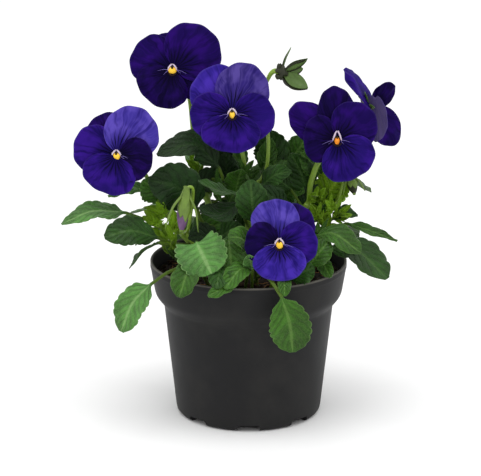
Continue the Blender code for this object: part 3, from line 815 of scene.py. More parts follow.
@dataclass
class NurseryPot:
    """The thin-walled pot: a tapered body, a deeper band under the rim and drain notches in the foot.

    Attributes:
        rim_radius: the outer radius at the rim.
        height: the height of the rim.
        foot_radius: the radius above the foot's rounded corner.
        foot_corner: the radius of that corner.
        shoulder: the body's radius and height where the band begins.
        band: the band's radius and height at its lower edge.
        wall: the wall's thickness.
        floor: the floor's thickness.
        notches: how many drain notches there are.
        notch: a notch's width and height.
        notch_from: the radius where a notch begins.
    """

    rim_radius: float = 60.0
    height: float = 96.0
    foot_radius: float = 44.2
    foot_corner: float = 3.2
    shoulder: tuple[float, float] = (51.8, 69.0)
    band: tuple[float, float] = (57.0, 75.5)
    wall: float = 1.3
    floor: float = 1.4
    notches: int = 8
    notch: tuple[float, float] = (13.5, 3.7)
    notch_from: float = 36.0

    segments = 192
    notch_corner = 1.6

    def outer(self, height: float) -> float:
        """Return the outer radius at a height."""
        foot, rim = (self.foot_radius, self.foot_corner), (self.rim_radius, self.height)
        steps = (foot, self.shoulder, self.band, rim)
        for (narrow, low), (wide, high) in zip(steps, steps[1:]):
            if height <= high:
                return narrow + (wide - narrow) * (height - low) / (high - low)
        return self.rim_radius

    def profile(self) -> list[tuple[float, float]]:
        """Return the turned section, from the middle of the underside round to the middle of the floor."""
        foot = self.foot_radius - self.foot_corner
        corners = [
            # radius, height, how far the corner is rounded
            (foot - 6, 0.0, 0.0), (self.foot_radius, 0.0, 3.2), (*self.shoulder, 1.6), (*self.band, 2.6),
            (self.rim_radius - 0.25, self.height - 4.2, 0.6), (self.rim_radius, self.height - 3.6, 0.3),
            (self.rim_radius, self.height, 0.55), (self.rim_radius - self.wall, self.height, 0.45),
            (self.outer(self.band[1]) - self.wall, self.band[1] + 0.3, 1.6),
            (self.shoulder[0] - self.wall, self.shoulder[1] + 0.3, 1.6),
            (self.outer(self.foot_corner + 1) - self.wall, self.foot_corner + 1, 1.2),
            (foot - 1.5, self.floor, 0.8), (8.0, self.floor, 0.0),
        ]
        outline = [corners[0][:2]]
        for before, (radius, height, blunt), after in zip(corners, corners[1:], corners[2:]):
            here = Vector((radius, height))
            enter = here + (Vector(before[:2]) - here).normalized() * blunt
            leave = here + (Vector(after[:2]) - here).normalized() * blunt
            for t in (0, 0.25, 0.5, 0.75, 1):
                outline.append(tuple(enter.lerp(here, t).lerp(here.lerp(leave, t), t)))
        outline.append(corners[-1][:2])
        return self.divided(outline)

    @staticmethod
    def divided(outline: list[tuple[float, float]], longest: float = 6.0) -> list[tuple[float, float]]:
        """Return an outline whose long straight runs are divided."""
        fine = [outline[0]]
        for (r0, z0), (r1, z1) in zip(outline, outline[1:]):
            pieces = max(1, math.ceil(math.hypot(r1 - r0, z1 - z0) / longest))
            fine += [(r0 + (r1 - r0) * k / pieces, z0 + (z1 - z0) * k / pieces) for k in range(1, pieces + 1)]
        return fine

    def cutter(self) -> bpy.types.Object:
        """Return the arched blocks that open the drain notches."""
        skin = Skin()
        half, top = self.notch[0] / 2, self.notch[1]
        blunt = self.notch_corner
        arch = [(half - blunt + blunt * math.cos(a), top - blunt + blunt * math.sin(a))
                for a in (math.radians(18 * k) for k in range(6))]
        outline = [(-half, -2.0), (half, -2.0), *arch, *[(-x, z) for x, z in reversed(arch)]]
        for k in range(self.notches):
            angle = math.tau * k / self.notches - math.pi / 2
            outward = Vector((math.cos(angle), math.sin(angle), 0.0))
            across = Vector((-math.sin(angle), math.cos(angle), 0.0))
            skin.loft([[outward * reach + across * x + UP * z for x, z in outline]
                       for reach in (self.notch_from, self.rim_radius)])
        return skin.build("drain_notch_cutter", CHARCOAL)

    def build(self) -> None:
        """Make the pot and open its notches."""
        skin = Skin()
        rings = []
        for radius, height in self.profile():
            rings.append([Vector((radius * math.cos(a), radius * math.sin(a), height))
                          for a in (math.tau * (k + 0.5) / self.segments for k in range(self.segments))])
        skin.loft(rings)
        pot = skin.build("nursery_pot", CHARCOAL)
        cutter = self.cutter()
        opening = pot.modifiers.new("drain notches", "BOOLEAN")
        opening.operation = "DIFFERENCE"
        opening.solver = "EXACT"
        opening.object = cutter
        shape = bpy.data.meshes.new_from_object(pot.evaluated_get(bpy.context.evaluated_depsgraph_get()))
        pot.modifiers.clear()
        pot.data = shape
        shape.set_sharp_from_angle(angle=math.radians(38))
        bpy.data.objects.remove(cutter)
        settle(pot, Slot.POT, "pot")


@dataclass
class Compost:
    """The plug of potting compost with crumbs and fibres on its crumbly top.

    Attributes:
        crown: the height of its middle.
        edge: the height at its edge.
        edge_radius: the radius at its edge.
        dome_radius: the radius over which the top falls from crown to edge.
        crumb_reach: how far from the middle the crumbs lie.
        fibre_reach: how far from the middle the fibres lie.
        crumbs: how many loose crumbs lie on it.
        fibres: how many dry fibres lie on it.
    """

    crown: float = 89.5
    edge: float = 86.5
    edge_radius: float = 56.9
    dome_radius: float = 57.0
    crumb_reach: float = 54.5
    fibre_reach: float = 50.0
    crumbs: int = 560
    fibres: int = 46

    rows = 26
    segments = 120
    relief = 1.3

    def height(self, x: float, y: float) -> float:
        """Return the height of the plain domed top."""
        return self.crown - (self.crown - self.edge) * (x * x + y * y) / self.dome_radius**2

    def build(self) -> None:
        """Make the plug, the crumbs and the fibres."""
        skin = Skin()
        sides = [(39.0, 1.8), (42.6, 5.2), (50.1, 69.6), (55.3, 76.2)]
        sides.append((self.edge_radius - 0.3, self.edge - 1.5))
        tops = [(self.edge_radius * (1 - (k / self.rows)) + 0.4, None) for k in range(self.rows + 1)]
        rings = []
        for radius, height in [*sides, *tops]:
            ring = []
            for k in range(self.segments):
                angle = math.tau * k / self.segments
                x, y = radius * math.cos(angle), radius * math.sin(angle)
                ring.append(Vector((x, y, self.crumbly(x, y, radius) if height is None else height)))
            rings.append(ring)
        skin.loft(rings)
        settle(skin.build("compost_plug", COMPOST), Slot.SOIL, "soil")
        self.scatter()

    def crumbly(self, x: float, y: float, radius: float) -> float:
        """Return the height of the uneven top at a point, whose radius is given too."""
        coarse = noise.noise(Vector((x, y, 3.0)) * 0.32)
        rough = coarse + 0.6 * noise.noise(Vector((x, y, 9.0)) * 0.9)
        return self.height(x, y) + self.relief * rough * ease(self.edge_radius - radius, -1.0, 3.0) - 0.3

    def scatter(self) -> None:
        """Strew the crumbs and fibres over the top."""
        rng = random.Random(11)
        skin = Skin()
        for _ in range(self.crumbs):
            reach = self.crumb_reach * math.sqrt(rng.random())
            angle = rng.uniform(0, math.tau)
            x, y = reach * math.cos(angle), reach * math.sin(angle)
            size = rng.uniform(0.5, 1.9) * (1.3 if rng.random() < 0.1 else 1)
            body = [size * rng.uniform(low, high) for low, high in ((0.7, 1.3), (0.7, 1.3), (0.5, 0.9))]
            middle = Vector((x, y, self.height(x, y) + size * 0.25))
            skin.lump(middle, Vector(body), 0.7, rng, 2 if size > 1.2 else 1)
        settle(skin.build("compost_crumbs", CRUMB), Slot.SOIL)
        skin = Skin()
        for _ in range(self.fibres):
            reach = self.fibre_reach * math.sqrt(rng.random())
            angle = rng.uniform(0, math.tau)
            x, y = reach * math.cos(angle), reach * math.sin(angle)
            heading = rng.uniform(0, math.tau)
            length = rng.uniform(4, 11)
            line = []
            for k in range(5):
                t = k / 4 - 0.5
                bow = 1.2 * math.cos(t * 3)
                px = x + math.cos(heading) * length * t - math.sin(heading) * bow
                py = y + math.sin(heading) * length * t + math.cos(heading) * bow
                line.append(Vector((px, py, self.height(px, py) + 1.3 + rng.uniform(-0.3, 0.5))))
            skin.tube(smooth_path(line, 7), [0.12, 0.25, 0.3, 0.3, 0.28, 0.22, 0.1], 5)
        settle(skin.build("compost_fibres", STRAW), Slot.SOIL)


COMPOST_PLUG = Compost()


# -------------------------------------------------------------------------------------- shoots


@dataclass(frozen=True)
class Shoot:
    """A leafy stem that rises from the compost.

    Attributes:
        name: the frame's node that it stands for.
        foot: where it leaves the compost.
        path: the points that it passes through above the compost.
    """

    name: str
    foot: tuple[float, float]
    path: tuple[Triple, ...]

    places = 41
    joints = (0.35, 0.55, 0.75, 0.97)
    ribs = 5
    round_points = 24
    side_depth = 0.6
    tip_depth = 0.8

    def line(self, count: int = places) -> list[Vector]:
        """Return the centre line, upright where it leaves the compost."""
        x, y = self.foot
        start = Vector((x, y, COMPOST_PLUG.height(x, y) + SOIL_GAP))
        return smooth_path([start, start + UP * 4, *map(Vector, self.path)], count)

    @staticmethod
    def radius(t: float) -> float:
        """Return the radius at a fraction of the length."""
        return 2.6 - 0.8 * t

    def build(self) -> None:
        """Make the ridged stem, with a swollen joint where leaves spring from it."""
        line = self.line(60)
        x, y = self.foot
        line = [Vector((x, y, line[0].z - 3)), *line]
        radii = []
        for k in range(len(line)):
            t = k / (len(line) - 1)
            joint = max(math.exp(-((t - place) / 0.02) ** 2) for place in self.joints)
            radii.append(self.radius(t) * (1 + 0.16 * joint))
        rings = tube_rings(line, radii, self.round_points, Vector((1.0, 0.0, 0.0)))
        for centre, ring in zip(line, rings):
            for k, point in enumerate(ring):
                rib = math.cos(math.tau * self.ribs * k / self.round_points)
                ring[k] = centre + (point - centre) * (1 + 0.05 * rib)
        skin = Skin()
        skin.loft(rings)
        settle(skin.build(self.name + "_stem", STEM), Slot.STEM, self.name)

    def side_seat(self, t: float, toward: Vector) -> tuple[Vector, Vector]:
        """Return a seat on the stem's side and the direction away from it.

        Args:
            t: how far up the stem, from 0 to 1.
            toward: the point that the seated piece grows towards.

        Returns:
            The seat and the direction.
        """
        line = self.line()
        index = round(t * (self.places - 1))
        axis = tangents(line)[index]
        reach = toward - line[index]
        away = (reach - axis * reach.dot(axis)).normalized()
        return line[index] + away * (self.radius(t) - self.side_depth), away

    def tip_seat(self) -> tuple[Vector, Vector]:
        """Return a seat on the stem's end and the direction that the end points in."""
        line = self.line()
        away = tangents(line)[-1]
        return line[-1] - away * self.tip_depth, away


SHOOTS = {
    shoot.name: shoot
    for shoot in (
        Shoot("shoot_left", (-15, -10), ((-32, -12, 107), (-48, -9, 125))),
        Shoot("shoot_back_left", (-10, 8), ((-22, 13, 120), (-30, 16, 146))),
        Shoot("shoot_middle", (0, 2), ((0, 6, 118), (-1, 7, 144))),
        Shoot("shoot_right", (12, 2), ((27, 4, 110), (36, 4, 130))),
        Shoot("shoot_back_right", (17, 13), ((33, 14, 108), (43, 13, 125))),
    )
}


def seat_for(seat: tuple, toward: Vector) -> tuple[Vector, Vector]:
    """Return a root point and the direction in which a piece leaves it.

    Args:
        seat: ("soil", x, y), (shoot name, "tip") or (shoot name, fraction).
        toward: the next point that the piece passes through.

    Returns:
        The root and the direction.
    """
    if seat[0] == "soil":
        x, y = seat[1], seat[2]
        return Vector((x, y, COMPOST_PLUG.height(x, y) - ROOT_DEPTH)), UP
    shoot = SHOOTS[seat[0]]
    if seat[1] == "tip":
        return shoot.tip_seat()
    return shoot.side_seat(seat[1], toward)


# -------------------------------------------------------------------------------------- leaves


@dataclass(frozen=True)
class Leaf:
    """One leaf: a petiole that widens into a quilted, round-toothed blade.

    Attributes:
        name: the piece's name, or the frame's node that it stands for.
        seat: what carries the petiole, as in seat_for.
        path: the points of the centre line after the seat.
        blade_from: the index in path where the blade begins.
        width: the blade's full width.
        facing: the direction that the blade's upper side faces.
        widest: where along the blade it is widest, from 0 to 1.
        tone: how light it is.
        fold: how steeply the two halves rise from the midrib.
        wave: how much the margin ripples.
        blunt: how blunt the ends are, less being blunter.
        teeth: how many teeth each margin has.
        petiole: the petiole's radius.
        lobes: how far the blade's base reaches back beside the petiole, in millimetres.
    """

    name: str
    seat: tuple
    path: tuple
    blade_from: int
    width: float
    facing: Triple
    widest: float = 0.5
    tone: LeafTone = LeafTone.MID
    fold: float = 0.14
    wave: float = 0.9
    blunt: float = 0.72
    teeth: float = 7.0
    petiole: float = 1.0
    lobes: float = 0.0

    petiole_rows = 14
    blade_rows = 64
    columns = 17
    half_thickness = 0.34
    tooth_depth = 0.12
    quilt_depth = 0.26
    groove_depth = 0.4

    def build(self) -> None:
        """Make the leaf."""
        points = [Vector(p) for p in self.path]
        root, away = seat_for(self.seat, points[0])
        petiole = smooth_path([root, root + away * 2.5, *points[: self.blade_from + 1]], self.petiole_rows)
        line = petiole[:-1] + smooth_path(points[self.blade_from:], self.blade_rows)
        start = len(petiole) - 1
        phase = sum(points[0]) * 0.37 + self.width
        rings, spots = [], []
        for k, (centre, direction) in enumerate(zip(line, [away, *tangents(line)[1:]])):
            normal = Vector(self.facing)
            across = direction.cross(normal).normalized()
            normal = across.cross(direction)
            along = (k - start) / (len(line) - 1 - start) if k > start else 0.0
            ring = self.section(centre, across, normal, along, phase)
            back = self.lobes * (1 - along) ** 2 * ease(along, 0.0, 0.04)
            for j, point in enumerate(ring):
                ring[j] = point - direction * back * min(1.0, (point - centre).length * 2 / self.width) ** 1.5
            rings.append(ring)
            spots.append(both_sides(self.columns, along if k > start else (k - start) / start * 0.5))
        skin = Skin()
        skin.loft(rings, spots)
        stands_for = (self.name,) if self.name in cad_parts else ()
        name = self.name + "_blade" if stands_for else self.name
        settle(skin.build(name, self.tone.value), Slot.LEAF, *stands_for)

    def half_width(self, along: float) -> float:
        """Return half of the blade's width at a place along it, with its round teeth."""
        power = math.log(0.5) / math.log(self.widest)
        plain = self.width / 2 * math.sin(math.pi * min(along, 0.99) ** power) ** self.blunt
        tooth = abs(math.sin(math.pi * self.teeth * (along + 0.04))) ** 0.6
        depth = self.tooth_depth * ease(along, 0.03, 0.2)
        return plain * (1.03 - depth * (1 - tooth))

    def section(self, centre: Vector, across: Vector, normal: Vector, along: float,
                phase: float) -> list[Vector]:
        """Return one section: round on the petiole, thin, folded and quilted on the blade.

        Args:
            centre: the point on the centre line.
            across: the direction across the blade.
            normal: the direction that the upper side faces.
            along: the place along the blade, 0 on the petiole.
            phase: where the margin's ripples start.

        Returns:
            The upper side's points and then the lower side's, back again.
        """
        spread = self.half_width(along) if along > 0 else 0.0
        blend = ease(along, 0.0, 0.16)
        calm = ease(along, 0.04, 0.22) * ease(1 - along, 0.02, 0.2)
        top, bottom = [], []
        for k in range(self.columns):
            side = 2 * k / (self.columns - 1) - 1
            reach = abs(side)
            angle = math.pi * (1 - (k + 0.5) / self.columns)
            flat = side * max(spread, self.petiole)
            rank = along * VEIN_COUNT - VEIN_SWEEP * reach
            quilt = self.quilt_depth * math.cos(math.tau * rank) * (1 - reach**4) * min(1.0, reach * 4) * calm
            turn = math.tau * (2.1 * along + 0.13 * side) + phase + 2 * side
            ripple = self.wave * reach**2.5 * math.sin(turn) * calm
            lift = self.fold * (math.hypot(flat, 0.9) - 0.9) + quilt + ripple
            groove = self.groove_depth * math.exp(-((flat / 0.9) ** 2)) * calm
            body = self.half_thickness * (1 - 0.55 * reach**2)
            x = (1 - blend) * self.petiole * math.cos(angle) + blend * flat
            high = (1 - blend) * self.petiole * math.sin(angle) + blend * (lift + body - groove)
            low = -(1 - blend) * self.petiole * math.sin(angle) + blend * (lift - body - groove * 1.6)
            top.append(centre + across * x + normal * high)
            bottom.append(centre + across * x + normal * low)
        return top + bottom[::-1]


FRESH, MID, DEEP, DARK, LIME = LeafTone

LEAVES = (
    Leaf("leaf_far_left", ("shoot_left", 0.9),
         ((-60, -13, 124), (-74, -16, 130), (-94, -20, 132), (-112, -27, 126)),
         1, 17, (-0.05, -0.4, 0.92), 0.42, FRESH, 0.12, 0.8, 0.66, 8),
    Leaf("leaf_left", ("shoot_left", 0.62),
         ((-45, -24, 113), (-54, -29, 118), (-70, -34, 124), (-86, -37, 121)),
         1, 20, (0.0, -0.72, 0.7), 0.55, DEEP, 0.1, 0.9, 0.55, 6),
    Leaf("leaf_drooping_left", ("soil", -22, -20),
         ((-34, -31, 101), (-47, -38, 100), (-58, -44, 94), (-69, -50, 84), (-76, -53, 67)),
         2, 21, (-0.45, -0.75, 0.5), 0.52, FRESH, 0.1, 0.8, 0.5, 7),
    Leaf("leaf_round_front", ("soil", -19, -28),
         ((-27, -38, 114), (-31, -48, 121), (-27, -56, 115), (-22, -62, 106)),
         1, 30, (0.0, -0.85, 0.55), 0.5, FRESH, 0.05, 1.0, 0.38, 8, lobes=15),
    Leaf("leaf_dark_front", ("soil", -8, -24),
         ((-11, -36, 116), (-12, -42, 124), (-11, -50, 115), (-10, -54, 102)),
         1, 20, (0.0, -0.8, 0.6), 0.55, MID, 0.12, 0.7, 0.55, 6),
    Leaf("leaf_upright", ("shoot_middle", 0.62),
         ((3, -18, 119), (3, -29, 127), (2, -32, 141), (1, -28, 154)),
         1, 20, (0.0, -1.0, 0.2), 0.55, DEEP, 0.12, 0.7, 0.6, 7),
    Leaf("leaf_arching", ("shoot_back_left", 0.95),
         ((-16, 3, 145), (-18, 2, 153), (-33, 1, 168), (-55, -9, 164)),
         1, 19, (-0.35, -0.65, 0.65), 0.5, DARK, 0.14, 0.7, 0.6, 7),
    Leaf("leaf_dark_left", ("shoot_back_left", 0.45),
         ((-28, -2, 120), (-31, -5, 129), (-43, -10, 144), (-60, -15, 150)),
         1, 30, (-0.35, -0.9, 0.35), 0.5, DARK, 0.14, 0.9, 0.6, 7),
    Leaf("leaf_dark_left_neighbour", ("shoot_left", 0.9),
         ((-46, -6, 128), (-50, -8, 136), (-58, -10, 144), (-64, -12, 149)),
         1, 19, (-0.35, -0.9, 0.3), 0.5, MID, 0.14, 0.9, 0.6, 7),
    Leaf("leaf_behind_stalks", ("shoot_middle", 0.8),
         ((10, 16, 136), (13, 20, 144), (14, 25, 158), (10, 25, 171)),
         1, 22, (0.0, -1.0, 0.3), 0.5, DEEP, 0.14, 0.8, 0.6, 7),
    Leaf("leaf_dark_right", ("shoot_right", 0.72),
         ((36, 10, 126), (37, 11, 133), (32, 12, 147), (26, 10, 160)),
         1, 18, (-0.1, -1.0, 0.15), 0.5, DEEP, 0.14, 0.8, 0.6, 7),
    Leaf("leaf_far_right", ("shoot_right", 0.9),
         ((50, -1, 117), (60, -2, 119), (74, -7, 116), (90, -12, 111)),
         1, 9, (0.1, -0.4, 0.92), 0.4, MID, 0.2, 0.6, 0.8, 6),
    Leaf("leaf_broad_right", ("shoot_right", 0.4),
         ((37, -10, 104), (47, -13, 107), (65, -22, 108), (83, -34, 94)),
         1, 25, (0.45, -0.55, 0.7), 0.6, DEEP, 0.12, 0.9, 0.55, 6),
    Leaf("leaf_drooping_front", ("soil", 4, -26),
         ((8, -42, 99), (13, -60, 101), (19, -68, 94), (24, -70, 78), (26, -67, 59)),
         2, 25, (0.0, -1.0, 0.2), 0.55, MID, 0.1, 0.9, 0.55, 8),
    Leaf("leaf_back", ("shoot_middle", 0.55),
         ((-5, 24, 120), (-8, 34, 126), (-14, 48, 130), (-20, 62, 122)),
         1, 24, (0.0, 0.3, 0.95), 0.5, MID, 0.12, 0.9, 0.6, 7),
)

SMALL_LEAVES = (
    Leaf("young_leaf_left_high", ("shoot_left", 0.95), ((-60, 1, 138), (-71, 0, 141), (-85, -5, 137)),
         0, 10, (0.0, -0.5, 0.9), 0.5, FRESH, teeth=5),
    Leaf("young_leaf_left_edge", ("shoot_left", 0.5), ((-54, -32, 116), (-63, -38, 113), (-71, -45, 104)),
         0, 11, (-0.62, 0.18, 0.76), 0.5, DEEP, teeth=4),
    Leaf("young_leaf_centre", ("soil", 5, -30), ((2, -44, 117), (-5, -49, 124), (-12, -54, 126)),
         0, 14, (-0.1, -0.75, 0.65), blunt=0.5, teeth=4),
    Leaf("young_leaf_shelf", ("shoot_middle", 0.7), ((-6, -20, 143), (-17, -28, 147), (-30, -31, 154)),
         0, 13, (0.0, -0.3, 0.95), 0.5, DEEP, 0.25, teeth=5),
    Leaf("young_leaf_cup", ("shoot_middle", 0.5), ((-6, -20, 138), (-17, -30, 133), (-30, -33, 138)),
         0, 16, (0.0, -0.45, 0.9), 0.5, DARK, 0.2, teeth=5),
    Leaf("young_leaf_back_high", ("shoot_back_right", 0.7), ((25, 26, 150), (30, 24, 158), (37, 22, 169)),
         0, 16, (-0.3, -0.9, 0.25), teeth=5),
    Leaf("young_leaf_back_mid", ("shoot_back_right", 0.5), ((8, 18, 146), (11, 19, 155), (14, 20, 167)),
         0, 12, (0.0, -0.9, 0.3), teeth=5),
    Leaf("young_leaf_bright", ("shoot_back_right", 0.8), ((45, 10, 128), (51, 8, 139), (58, 4, 150)),
         0, 22, (-0.2, -1.0, 0.1), 0.5, LIME, 0.08, teeth=6, blunt=0.55),
    Leaf("young_leaf_right_small", ("shoot_right", 0.8), ((50, -4, 122), (57, -7, 128), (66, -9, 126)),
         0, 10, (0.1, -0.5, 0.85), 0.5, DEEP, teeth=4),
    Leaf("young_leaf_right_front", ("shoot_right", 0.3), ((40, -22, 117), (51, -30, 121), (67, -37, 111)),
         0, 17, (0.25, -0.6, 0.75), 0.55, MID, teeth=5, blunt=0.6),
    Leaf("young_leaf_right_low", ("soil", 30, -26), ((36, -40, 104), (42, -39, 112), (48, -34, 118)),
         0, 15, (-0.1, -0.85, 0.5), teeth=4, blunt=0.55),
    Leaf("rim_leaf_left", ("soil", -24, -34), ((-30, -50, 107), (-36, -60, 106), (-41, -67, 93)),
         0, 17, (-0.25, -0.75, 0.6), 0.55, MID, teeth=4, blunt=0.5),
    Leaf("rim_leaf_dark", ("soil", -14, -38), ((-15, -50, 107), (-17, -58, 107), (-19, -66, 98)),
         0, 14, (0.0, -0.75, 0.65), 0.5, DEEP, teeth=4, blunt=0.5),
    Leaf("rim_leaf_middle", ("soil", -2, -38), ((0, -50, 106), (-6, -59, 107), (-14, -66, 98)),
         0, 13, (-0.1, -0.75, 0.65), teeth=4, blunt=0.5),
    Leaf("rim_leaf_lime", ("soil", -10, -42), ((-8, -56, 99), (-15, -64, 98), (-24, -68, 94)),
         0, 9, (0.0, -0.75, 0.65), teeth=3, blunt=0.5),
    Leaf("rim_leaf_tiny", ("soil", 19, -46), ((21, -57, 101), (21, -64, 100), (21, -68, 94)),
         0, 8, (0.0, -0.75, 0.65), teeth=3, blunt=0.5),
    Leaf("rim_leaf_pale", ("soil", 2, -42), ((2, -51, 106), (1, -55, 111), (0, -57, 116)),
         0, 9, (-0.1, -0.95, 0.2), 0.5, FRESH, teeth=3, blunt=0.5),
    Leaf("rim_leaf_shaded", ("soil", 22, -38), ((25, -46, 97), (32, -46, 102), (39, -44, 104)),
         0, 15, (0.0, -0.85, 0.5), 0.5, DEEP, teeth=4, blunt=0.5),
    Leaf("rim_leaf_right", ("soil", 36, -22), ((42, -30, 107), (45, -35, 103), (49, -41, 97)),
         0, 9, (-0.1, -0.85, 0.5), teeth=3, blunt=0.55),
    Leaf("hidden_leaf_middle", ("shoot_middle", 0.45), ((8, -8, 116), (14, -16, 126), (24, -20, 134)),
         0, 18, (0.1, -0.85, 0.5), 0.5, DARK),
    Leaf("hidden_leaf_left", ("shoot_back_left", 0.3), ((-20, -8, 108), (-26, -20, 116), (-36, -30, 118)),
         0, 18, (-0.2, -0.8, 0.5), 0.5, DARK),
    Leaf("hidden_leaf_high", ("shoot_middle", 0.85), ((8, 2, 142), (16, 0, 149), (26, -2, 152)),
         0, 13, (0.2, -0.8, 0.6), 0.5, DEEP, teeth=5),
    Leaf("hidden_leaf_between", ("shoot_right", 0.5), ((24, -4, 128), (14, -8, 138), (4, -10, 143)),
         0, 14, (-0.1, -0.8, 0.6), 0.5, DARK, teeth=5),
    Leaf("hidden_leaf_top_left", ("shoot_back_left", 0.8), ((-22, 16, 150), (-16, 16, 158), (-10, 14, 164)),
         0, 15, (0.0, -0.95, 0.3), 0.5, DARK, teeth=5),
    Leaf("rear_leaf_left", ("shoot_back_left", 0.5), ((-24, 27, 124), (-35, 40, 130), (-50, 54, 121)),
         0, 23, (-0.3, 0.5, 0.8)),
    Leaf("rear_leaf_right", ("shoot_back_right", 0.5), ((30, 28, 120), (34, 42, 127), (40, 58, 117)),
         0, 23, (0.1, 0.6, 0.8), 0.5, FRESH),
    Leaf("rear_leaf_drooping", ("soil", -18, 30),
         ((-25, 42, 104), (-32, 56, 106), (-38, 64, 95), (-40, 65, 78)),
         0, 21, (-0.4, 0.85, 0.35), teeth=8),
    Leaf("rear_leaf_low", ("soil", 10, 34), ((13, 44, 106), (15, 57, 108), (18, 67, 98)),
         0, 18, (0.1, 0.75, 0.65), 0.5, DEEP, teeth=6),
    Leaf("rear_leaf_far_left", ("shoot_left", 0.5), ((-42, 5, 118), (-56, 13, 125), (-74, 19, 119)),
         0, 19, (-0.3, 0.2, 0.9)),
    Leaf("rear_leaf_far_right", ("shoot_back_right", 0.9), ((52, 23, 132), (62, 30, 137), (76, 37, 128)),
         0, 17, (0.3, 0.35, 0.9)),
    Leaf("rear_leaf_side_right", ("soil", 38, 16), ((48, 25, 104), (58, 31, 108), (68, 37, 97)),
         0, 18, (0.5, 0.5, 0.7), 0.5, DEEP, teeth=6),
    Leaf("rear_leaf_side_left", ("soil", -40, 14), ((-49, 21, 104), (-60, 27, 107), (-70, 32, 95)),
         0, 16, (-0.5, 0.4, 0.7), teeth=6),
    Leaf("rear_leaf_upright", ("shoot_middle", 0.4), ((2, 24, 122), (6, 34, 134), (12, 42, 146)),
         0, 20, (0.1, 0.85, 0.5), 0.5, DEEP),
    Leaf("rear_leaf_high", ("shoot_back_left", 0.85), ((-30, 26, 144), (-36, 36, 152), (-46, 44, 150)),
         0, 17, (-0.3, 0.6, 0.75), 0.5, FRESH),
)


@dataclass(frozen=True)
class Thicket:
    """The crowded leaves between the shoots, some in the darkest tone, which paints the shade among them.

    Attributes:
        count: how many leaves there are.
        low: the lowest corner of the room that they grow in.
        high: the highest corner of that room.
        ceiling: the height that no tip passes.
        seed: which arrangement they have.
    """

    count: int = 30
    low: Triple = (-38, 2, 104)
    high: Triple = (46, 34, 146)
    ceiling: float = 160.0
    seed: int = 41

    def build(self) -> None:
        """Make the leaves, each from the nearest shoot."""
        rng = random.Random(self.seed)
        for number in range(self.count):
            start = Vector([rng.uniform(a, b) for a, b in zip(self.low, self.high)])
            shoot = min(SHOOTS.values(), key=lambda one: min((p - start).length for p in one.line()))
            line = shoot.line()
            nearest = min(range(shoot.places), key=lambda k: (line[k] - start).length)
            lean = Vector((rng.uniform(-1, 1), rng.uniform(-0.5, 0.7), rng.uniform(0.1, 0.9))).normalized()
            length = rng.uniform(15, 23)
            end = start + lean * length
            end.z = min(end.z, self.ceiling)
            middle = start.lerp(end, 0.5) + UP * rng.uniform(1, 4)
            facing = (rng.uniform(-0.4, 0.4), -0.85, rng.uniform(0.2, 0.6))
            tone = rng.choice((DARK, DEEP, MID, MID, MID))
            Leaf(f"inner_leaf_{number:02d}", (shoot.name, clamp(nearest / (shoot.places - 1), 0.1, 0.95)),
                 (tuple(start), tuple(middle), tuple(end)), 0, rng.uniform(13, 18), facing, 0.5, tone,
                 teeth=6, petiole=0.8).build()


def narrow_blade(skin: Skin, path: Sequence[Vector], width: float, facing: Vector, thickness: float = 0.5,
                 widest: float = 0.4, cup: float = 0.2) -> None:
    """Add a narrow pointed blade, such as a sepal or a lobe of a stipule.

    Args:
        skin: the mesh that it joins.
        path: its centre line.
        width: its full width.
        facing: the direction that its inner side faces.
        thickness: its thickness.
        widest: where along it is widest.
        cup: how much its margins rise towards the facing side.
    """
    rows, columns = 12, 7
    line = smooth_path(path, rows)
    power = math.log(0.5) / math.log(widest)
    rings, spots = [], []
    for row, (centre, direction) in enumerate(zip(line, tangents(line))):
        along = row / (rows - 1)
        across = direction.cross(facing).normalized()
        normal = across.cross(direction)
        half = max(0.18, width / 2 * math.sin(math.pi * clamp(0.06 + 0.93 * along) ** power) ** 0.8)
        top, bottom = [], []
        for k in range(columns):
            side = 2 * k / (columns - 1) - 1
            body = thickness / 2 * (1 - 0.6 * side * side)
            lift = cup * half * side * side - 0.1 * math.exp(-((side * half / 0.5) ** 2))
            top.append(centre + across * side * half + normal * (lift + body))
            bottom.append(centre + across * side * half + normal * (lift - body))
        rings.append(top + bottom[::-1])
        spots.append(both_sides(columns, along))
    skin.loft(rings, spots)


@dataclass(frozen=True)
class StipuleTuft:
    """A cluster of lobed stipules where leaves leave a shoot.

    Attributes:
        name: the piece's name.
        centre: the joint that they spring from.
        lean: the direction that they mostly point in.
        count: how many stipules there are.
        length: how long the longest is.
        tone: how light they are.
        seed: which arrangement they have.
    """

    name: str
    centre: Triple
    lean: Triple
    count: int
    length: float
    tone: LeafTone
    seed: int

    def build(self) -> None:
        """Make the stipules, each a long blade with shorter lobes at its foot."""
        rng = random.Random(self.seed)
        skin = Skin()
        for _ in range(self.count):
            lean = Vector([c + rng.uniform(-0.75, 0.75) for c in self.lean]).normalized()
            root = Vector(self.centre) + scattered(rng, -3, 3)
            length = self.length * rng.uniform(0.6, 1.0)
            facing = (Vector((rng.uniform(-0.5, 0.5), -0.9, 0.5)) - lean * 0.2).normalized()
            tip = root + lean * length + UP * rng.uniform(-2, 2)
            bow = facing * rng.uniform(0.5, 2.0)
            path = [root, root.lerp(tip, 0.5) - bow, tip]
            narrow_blade(skin, path, rng.uniform(2.6, 4.6), facing, 0.4, 0.55)
            across = lean.cross(facing).normalized()
            for sign in (-1, 1):
                for share in (0.05, 0.2):
                    foot = root.lerp(tip, share)
                    way = lean * 0.75 + across * sign * rng.uniform(0.4, 0.8)
                    reach = way * length * rng.uniform(0.3, 0.5)
                    path = [foot, foot + reach * 0.5, foot + reach]
                    narrow_blade(skin, path, rng.uniform(1.2, 2.2), facing, 0.35)
        settle(skin.build(self.name, self.tone.value), Slot.LEAF)


